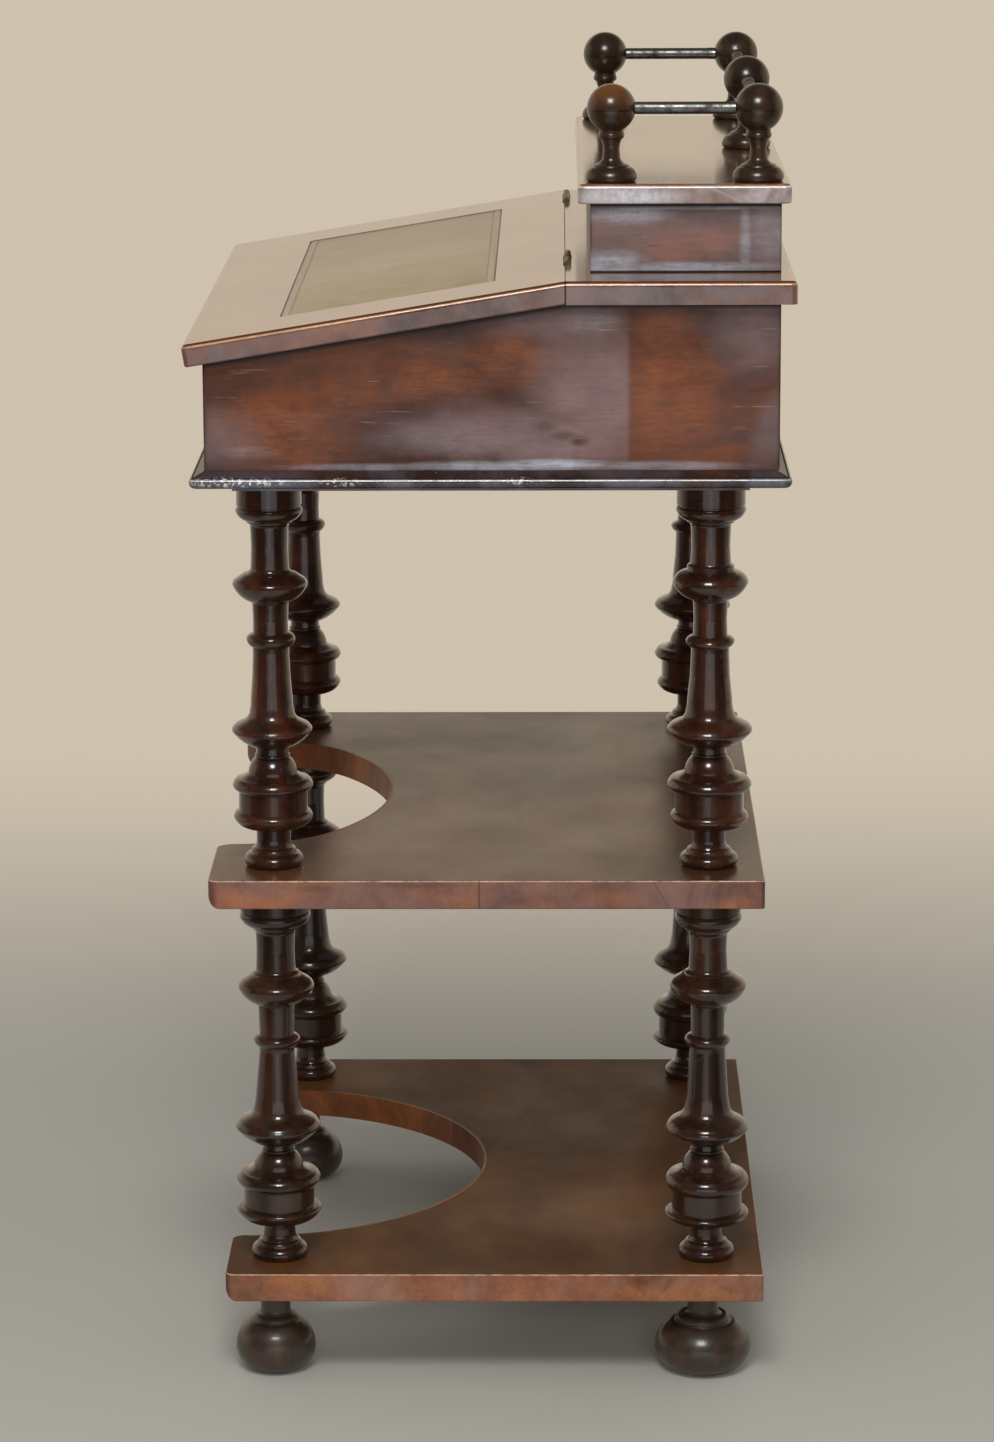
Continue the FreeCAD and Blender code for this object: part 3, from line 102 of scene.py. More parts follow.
def put(tree, kind, sockets=None, **options):
    node = tree.nodes.new(kind)
    for name, value in options.items():
        setattr(node, name, value)
    for name, value in (sockets or {}).items():
        if isinstance(value, bpy.types.NodeSocket):
            tree.links.new(value, node.inputs[name])
        else:
            node.inputs[name].default_value = value
    return node


def calc(tree, operation, first, second=0.0):
    return put(tree, "ShaderNodeMath", {0: first, 1: second}, operation=operation).outputs[0]


def times(tree, first, second):
    return calc(tree, "MULTIPLY", first, second)


def plus(tree, first, second):
    return calc(tree, "ADD", first, second)


def minus(tree, first, second):
    return calc(tree, "SUBTRACT", first, second)


def vectorCalc(tree, operation, first, second=(0, 0, 0), result=0):
    node = put(tree, "ShaderNodeVectorMath", {0: first, 1: second}, operation=operation)
    return node.outputs[result]


def axes(tree, vector):
    return put(tree, "ShaderNodeSeparateXYZ", {0: vector}).outputs


def surfaceNormal(tree):
    return put(tree, "ShaderNodeTexCoord").outputs["Normal"]


def remap(tree, value, low, high, newLow=0.0, newHigh=1.0, smooth=False):
    node = put(
        tree, "ShaderNodeMapRange",
        {"Value": value, "From Min": low, "From Max": high, "To Min": newLow, "To Max": newHigh},
        interpolation_type="SMOOTHSTEP" if smooth else "LINEAR")
    return node.outputs[0]


def mixColour(tree, amount, first, second, blend="MIX"):
    def opaque(colour):
        return colour if isinstance(colour, bpy.types.NodeSocket) else (*colour, 1)
    node = put(
        tree, "ShaderNodeMix", {0: amount, 6: opaque(first), 7: opaque(second)},
        data_type="RGBA", blend_type=blend)
    return node.outputs[2]


def colourRamp(tree, value, stops):
    node = put(tree, "ShaderNodeValToRGB", {"Fac": value})
    points = node.color_ramp.elements
    while len(points) < len(stops):
        points.new(1.0)
    for point, (place, colour) in zip(points, stops):
        point.position = place
        point.color = (*colour, 1)
    return node.outputs["Color"]


usualNoise = (0.3, 0.7)  # nearly all of a noise's values lie between these


def noise(tree, where, scale, detail=3.0, roughness=0.5, distortion=0.0):
    sockets = {"Vector": where, "Scale": scale, "Detail": detail, "Roughness": roughness}
    return put(tree, "ShaderNodeTexNoise", {**sockets, "Distortion": distortion}).outputs["Fac"]


def stretched(tree, where, scale):
    return put(tree, "ShaderNodeMapping", {"Vector": where, "Scale": scale}).outputs["Vector"]


def bumpOf(tree, height, strength, distance):
    sockets = {"Height": height, "Strength": strength, "Distance": distance}
    return put(tree, "ShaderNodeBump", sockets).outputs[0]


def newMaterial(name):
    material = bpy.data.materials.new(name)
    material.use_nodes = True
    tree = material.node_tree
    tree.nodes.clear()
    shader = put(tree, "ShaderNodeBsdfPrincipled")
    output = put(tree, "ShaderNodeOutputMaterial")
    tree.links.new(shader.outputs[0], output.inputs["Surface"])
    where = put(tree, "ShaderNodeTexCoord").outputs["Object"]
    return material, tree, shader, where


def setSockets(tree, shader, sockets):
    for name, value in sockets.items():
        if isinstance(value, bpy.types.NodeSocket):
            tree.links.new(value, shader.inputs[name])
        else:
            shader.inputs[name].default_value = value


worldSettings = {
    "room": (0.50, 0.49, 0.47),  # what the surroundings give as soft light
    "wall": (0.70, 0.585, 0.45),  # what polish mirrors at the height of a wall
    "ceiling": (0.10, 0.09, 0.08),
    "ceilingFrom": 0.30,  # rise of the mirrored ray at which wall passes into ceiling
    "ceilingTo": 0.62,
    "shade": (0.055, 0.055, 0.06),  # on the lamps' side
    "shadeFrom": -0.15,
    "shadeTo": 0.30,
    "backdrop": (0.62, 0.535, 0.425),
}


def makeWorld(settings):
    world = bpy.data.worlds.new("studio")
    bpy.context.scene.world = world
    world.use_nodes = True
    tree = world.node_tree
    tree.nodes.clear()
    path = put(tree, "ShaderNodeLightPath").outputs
    mirrors = calc(tree, "MAXIMUM", path["Is Glossy Ray"], path["Is Transmission Ray"])
    direction = axes(tree, put(tree, "ShaderNodeTexCoord").outputs["Generated"])
    upward = remap(tree, direction["Z"], settings["ceilingFrom"], settings["ceilingTo"], smooth=True)
    mirrored = mixColour(tree, upward, settings["wall"], settings["ceiling"])
    toLamps = remap(tree, direction["X"], settings["shadeFrom"], settings["shadeTo"], smooth=True)
    mirrored = mixColour(tree, toLamps, mirrored, settings["shade"])
    shown = mixColour(tree, mirrors, settings["room"], mirrored)
    shown = mixColour(tree, path["Is Camera Ray"], shown, settings["backdrop"])
    light = put(tree, "ShaderNodeBackground", {"Color": shown, "Strength": 1.0})
    output = put(tree, "ShaderNodeOutputWorld")
    tree.links.new(light.outputs[0], output.inputs["Surface"])


floorSettings = {
    "size": 60,
    "colour": (0.43, 0.425, 0.385),
    "cloudScale": 1.6,
    "cloudTint": 1.04,  # how much paler its clouds are
    "roughness": 0.75,
    "risesFrom": -0.35,  # where the floor starts to pass into the backdrop, along X
    "risesTo": -1.9,
    "fadesFrom": 2.6,  # and how far out it does so on the other sides
    "fadesTo": 7.0,
    "darkensFrom": 0.32,  # in front of the desk, glossy rays see the floor painted dark: a painted dark reflection in the polish
    "darkensTo": 0.75,
    "mirroredDark": (0.030, 0.030, 0.034),
    "gap": (0.62, 0.60, 0.57),  # in those reflections, the pale floor between the two painted dark sides
    "gapInside": 0.294,
    "gapOutside": 0.546,
}


def makeFloor(settings):
    bpy.ops.object.select_all(action="DESELECT")
    bpy.ops.mesh.primitive_plane_add(size=settings["size"])
    floor = bpy.context.object
    floor.name = "floor"
    material, tree, shader, where = newMaterial("paleFloor")
    cloud = remap(tree, noise(tree, where, settings["cloudScale"], 4), *usualNoise)
    paler = [channel * settings["cloudTint"] for channel in settings["colour"]]
    colour = mixColour(tree, cloud, settings["colour"], paler)
    setSockets(tree, shader, {"Base Color": colour, "Roughness": settings["roughness"]})

    path = put(tree, "ShaderNodeLightPath").outputs
    seen = calc(tree, "MAXIMUM", path["Is Camera Ray"], path["Is Glossy Ray"])
    seen = calc(tree, "MAXIMUM", seen, path["Is Transmission Ray"])
    away = axes(tree, where)
    rise = remap(tree, away["X"], settings["risesFrom"], settings["risesTo"], smooth=True)
    distance = vectorCalc(tree, "LENGTH", where, result="Value")
    fade = remap(tree, distance, settings["fadesFrom"], settings["fadesTo"], smooth=True)
    rise = times(tree, calc(tree, "MAXIMUM", rise, fade), seen)
    backdropColour = (*worldSettings["backdrop"], 1)
    backdrop = put(tree, "ShaderNodeEmission", {"Color": backdropColour, "Strength": 1.0})
    blend = put(tree, "ShaderNodeMixShader", {0: rise, 1: shader.outputs[0], 2: backdrop.outputs[0]})

    # painted reflection: glossy rays in front of the desk see a dark emission at the sides and pale floor
    # in the middle
    beside = calc(tree, "ABSOLUTE", away["Y"])
    gap = remap(tree, beside, settings["gapOutside"], settings["gapInside"], smooth=True)
    mirroredDarkColour = mixColour(tree, gap, settings["mirroredDark"], settings["gap"])
    mirroredDark = put(tree, "ShaderNodeEmission", {"Color": mirroredDarkColour, "Strength": 1.0})
    darken = remap(tree, away["X"], settings["darkensFrom"], settings["darkensTo"], smooth=True)
    darken = times(tree, darken, path["Is Glossy Ray"])
    mirrored = put(tree, "ShaderNodeMixShader", {0: darken, 1: blend.outputs[0], 2: mirroredDark.outputs[0]})
    output = next(node for node in tree.nodes if node.type == "OUTPUT_MATERIAL")
    tree.links.new(mirrored.outputs[0], output.inputs["Surface"])
    floor.data.materials.append(material)


makeCamera(viewSettings)
for lampName, lamp in lampSettings.items():
    makeLamp(lampName, lamp)
makeWorld(worldSettings)
makeFloor(floorSettings)
bpy.context.scene.view_settings.view_transform = "Standard"
print("camera, lamps and floor made")


def grainVector(tree, where, grain, squeeze):
    # the pattern is drawn out along the grain
    scale = [1.0, 1.0, 1.0]
    scale["XYZ".index(grain)] = squeeze
    return stretched(tree, where, scale)


def arrisMask(tree, start, end):
    # 1 on rounded arrises, 0 on flats: there the normal is far from every axis
    x, y, z = axes(tree, vectorCalc(tree, "ABSOLUTE", surfaceNormal(tree)))
    largest = calc(tree, "MAXIMUM", x, calc(tree, "MAXIMUM", y, z))
    return remap(tree, minus(tree, 1.0, largest), start, end)


def upwardMask(tree, start=0.80, end=0.97):
    return remap(tree, axes(tree, surfaceNormal(tree))["Z"], start, end)


def strongest(tree, marks):
    total = marks[0]
    for mark in marks[1:]:
        total = calc(tree, "MAXIMUM", total, mark)
    return total


def patches(tree, where, entries):
    # soft oval patches: centre, reach along each axis, strength at the middle
    spots = []
    for centre, reach, strength in entries:
        away = vectorCalc(tree, "DIVIDE", vectorCalc(tree, "SUBTRACT", where, centre), reach)
        away = vectorCalc(tree, "LENGTH", away, result="Value")
        spots.append(remap(tree, away, 1.0, 0.2, 0.0, strength, smooth=True))
    return strongest(tree, spots)


def facePatches(tree, where, look, kind):
    # patches on a board's outer end: place along and up, reach along and up, strength, and for
    # some a depth of their own
    usualDepth = look.get(kind + "Depth", look["depth"])
    entries = []
    for along, up, halfWidth, halfHeight, strength, *own in look[kind + "s"]:
        depth = own[0] if own else usualDepth
        entries.append(((look["face"], along, up), (depth, halfWidth, halfHeight), strength))
    return patches(tree, where, entries)


def jointAndShadowLines(tree, where, entries):
    # thin straight marks: the direction across, how far out the mark lies, half its width, strength
    lines = []
    for across, offset, half, strength in entries:
        along = vectorCalc(tree, "DOT_PRODUCT", where, across, "Value")
        gap = calc(tree, "ABSOLUTE", minus(tree, along, offset))
        lines.append(remap(tree, gap, half, half * 0.4, 0.0, strength))
    return strongest(tree, lines)


def woodGrain(tree, where, look):
    # figure and streaks wander with the growth of the tree, the pores run straight
    growth = {"Vector": where, "Scale": look["growthScale"], "Detail": 5.0}
    wander = put(tree, "ShaderNodeTexNoise", growth).outputs["Color"]
    wander = vectorCalc(tree, "SUBTRACT", wander, (0.5, 0.5, 0.5))
    wander = vectorCalc(tree, "MULTIPLY", wander, [look["wander"]] * 3)
    bent = vectorCalc(tree, "ADD", where, wander)
    grain = look["grain"]
    figure = noise(tree, grainVector(tree, bent, grain, 0.45), look["figureScale"], 4, 0.6, 0.4)
    streak = noise(tree, grainVector(tree, bent, grain, 0.06), look["streakScale"], 6, 0.6)
    fleck = noise(tree, grainVector(tree, where, grain, 0.12), look["poreScale"], 3, 0.7)
    return bent, figure, streak, remap(tree, fleck, 0.58, 0.74)


def addPatches(tree, where, bent, figure, look, colour):
    # warm wood, dark marks, painted sheen and painted highlights, broken up by fine strokes along the
    # grain
    strokes = noise(tree, grainVector(tree, where, look["grain"], 0.13), look["strokeScale"], 5, 0.75)
    cloudy = noise(tree, where, look["cloudScale"], 5, 0.65)
    strokes = plus(tree, times(tree, strokes, 0.55), times(tree, cloudy, 0.45))
    ragged = remap(tree, strokes, 0.36, 0.58, 0.45, 1.0)
    mottle = remap(tree, figure, 0.30, 0.60, 0.55, 1.0)
    for kind in ("glow", "sheen", "veil", "knot", "bloom"):
        if kind + "s" not in look:
            continue
        amount = facePatches(tree, where if kind in ("knot", "bloom") else bent, look, kind)
        amount = times(tree, amount, mottle if kind in ("sheen", "veil") else ragged)
        if kind == "veil":
            edge = look["sheenVeilEnd"]
            amount = times(tree, amount, remap(tree, axes(tree, where)["Y"], edge + 0.002, edge - 0.002))
        colour = mixColour(tree, amount, colour, look[kind + "Colour"])
    shade = remap(tree, strokes, 0.32, 0.66, look["brushLow"], look["brushHigh"])
    return mixColour(tree, 1.0, colour, shade, "MULTIPLY")


def addSheenTopsAndScratches(tree, where, figure, upward, look, colour):
    # a painted cloudy sheen on the upright faces, a clear warm polish on the tops, and fine scratches
    cloud = noise(tree, grainVector(tree, where, look["grain"], 0.3), look["hazySheenScale"], 6, 0.65, 0.8)
    hazySheen = times(tree, remap(tree, cloud, 0.40, 0.66, smooth=True), look["hazySheen"])
    if "topColour" in look:
        hazySheen = times(tree, hazySheen, minus(tree, 1.0, upward))
        topTone = remap(tree, figure, 0.35, 0.65)
        topTone = mixColour(tree, topTone, look["topColour"], look["topLight"])
        colour = mixColour(tree, upward, colour, topTone)
    colour = mixColour(tree, hazySheen, colour, look["hazySheenColour"])
    scratch = noise(tree, grainVector(tree, where, look["grain"], 0.05), look["scratchScale"], 2, 0.5)
    scratch = times(tree, remap(tree, scratch, 0.70, 0.76), look["scratch"])
    return mixColour(tree, scratch, colour, look["scratchColour"])


def addWearHighlightAndShade(tree, where, look, colour):
    # rubbed upper arrises: worn all over, with a painted highlight line half-way up and a painted dark
    # strip above it
    wearAndHighlightNoise = noise(tree, where, look["wearAndHighlightScale"], 4, 0.6)
    worn = times(tree, arrisMask(tree, 0.02, 0.14), remap(tree, wearAndHighlightNoise, 0.30, 0.62))
    worn = times(tree, worn, upwardMask(tree, 0.10, 0.35))
    colour = mixColour(tree, times(tree, worn, look["wear"]), colour, look["wearColour"])
    normal = axes(tree, surfaceNormal(tree))
    steep = normal["Z"]
    # painted highlight line along the middle of the arris
    if "highlightLine" in look:
        line = times(tree, remap(tree, steep, 0.24, 0.38), remap(tree, steep, 0.70, 0.55))
        line = times(tree, line, remap(tree, wearAndHighlightNoise, 0.30, 0.60, 0.35, look["highlightLine"]))
        colour = mixColour(tree, line, colour, look["highlightLineColour"])
    strip = 0.0
    # painted dark strip above it, standing in for a dark reflection
    if "darkStrip" in look:
        strip = times(tree, remap(tree, steep, 0.62, 0.74), remap(tree, steep, 0.985, 0.955))
        sideways = calc(tree, "ABSOLUTE", normal["X"])
        strip = times(tree, strip, remap(tree, sideways, 0.04, 0.20))
        colour = mixColour(tree, times(tree, strip, look["darkStrip"]), colour, look["stripColour"])
    return colour, strip


def addJointsShadowLinesAndChipGlints(tree, where, upward, look, colour):
    # painted shadow lines under overhangs and in gaps, then dark joints between veneers
    if "jointAndShadowLines" in look:
        colour = mixColour(tree, jointAndShadowLines(tree, where, look["jointAndShadowLines"]), colour, look["jointAndShadowColour"])
    if "sideSeams" in look:
        joint = times(tree, jointAndShadowLines(tree, where, look["sideSeams"]), minus(tree, 1.0, upward))
        colour = mixColour(tree, joint, colour, look["jointAndShadowColour"])
    chip = 0.0
    # chips, painted pale as their glints
    if "chips" in look:
        crumb = remap(tree, noise(tree, where, look["crumbScale"], 3, 0.6), 0.52, 0.57)
        chip = times(tree, facePatches(tree, where, look, "chip"), crumb)
        colour = mixColour(tree, chip, colour, look["chipAndGlintColour"])
    return colour, chip


def boardMaterial(name, look):
    # French-polished board
    material, tree, shader, where = newMaterial(name)
    bent, figure, streak, pits = woodGrain(tree, where, look)
    upward = upwardMask(tree)
    tone = plus(tree, times(tree, figure, 0.80), times(tree, streak, 0.20))
    colour = colourRamp(tree, tone, look["tones"])
    colour = addPatches(tree, where, bent, figure, look, colour)
    colour = mixColour(tree, times(tree, pits, look["poreDark"]), colour, look["poreColour"])
    colour = addSheenTopsAndScratches(tree, where, figure, upward, look, colour)
    colour, strip = addWearHighlightAndShade(tree, where, look, colour)
    colour, chip = addJointsShadowLinesAndChipGlints(tree, where, upward, look, colour)

    coat = look["coat"]
    if "topCoat" in look:
        coat = remap(tree, upward, 0.0, 1.0, coat, look["topCoat"])
    if "darkStrip" in look:
        coat = remap(tree, strip, 0.0, 1.0, coat, 0.0)
    gloss = noise(tree, where, look["glossScale"], 5, 0.6)
    gloss = remap(tree, gloss, *usualNoise, look["gloss"] * 0.8, look["gloss"] * 1.3)
    if "topShine" in look:
        gloss = times(tree, gloss, remap(tree, upward, 0.0, 1.0, 1.0, look["topShine"]))
    gloss = plus(tree, gloss, times(tree, pits, look["poreDepth"] * 3))
    wave = noise(tree, grainVector(tree, where, look["grain"], 0.4), look["waveScale"], 2, 0.5)
    height = plus(tree, times(tree, streak, 0.10), times(tree, wave, look["ripple"]))
    height = minus(tree, height, times(tree, pits, look["poreDepth"]))
    height = minus(tree, height, times(tree, chip, 0.4))
    setSockets(tree, shader, {
        "Base Color": colour,
        "Roughness": gloss,
        "Normal": bumpOf(tree, height, 0.35, 0.002),
        "IOR": look["ior"],
        "Coat Weight": coat,
        "Coat Roughness": look["coatRoughness"],
        "Coat IOR": 1.5,
    })
    return material


mahogany = {
    "grain": "Y", "wander": 0.05,
    # how fine each pattern is
    "growthScale": 11.0, "figureScale": 13.0, "streakScale": 95.0, "poreScale": 500.0,
    "strokeScale": 300.0, "cloudScale": 60.0, "hazySheenScale": 16.0, "scratchScale": 520.0,
    "wearAndHighlightScale": 120.0, "crumbScale": 330.0, "glossScale": 9.0, "waveScale": 22.0,
    "tones": [
        (0.34, (0.022, 0.0085, 0.0062)), (0.46, (0.042, 0.0150, 0.0090)),
        (0.56, (0.070, 0.0230, 0.0115)), (0.68, (0.112, 0.0360, 0.0140)),
    ],
    "poreDark": 0.35, "poreColour": (0.020, 0.008, 0.006), "poreDepth": 0.012,
    # painted sheen: a pale cloud over the upright faces' colour, standing in for their reflection
    "hazySheen": 0.10, "hazySheenColour": (0.13, 0.10, 0.105),
    "scratch": 0.5, "scratchColour": (0.22, 0.17, 0.16),
    "wear": 0.5, "wearColour": (0.26, 0.085, 0.022),
    "gloss": 0.30, "ripple": 0.5, "ior": 1.30, "coat": 0.0, "coatRoughness": 0.15,
    "glowColour": (0.165, 0.045, 0.010), "sheenColour": (0.175, 0.135, 0.145),
    "veilColour": (0.175, 0.115, 0.115), "bloomColour": (0.330, 0.350, 0.410),
    "knotColour": (0.040, 0.017, 0.011), "brushLow": 0.82, "brushHigh": 1.18,
    "jointAndShadowColour": (0.010, 0.006, 0.005),
}

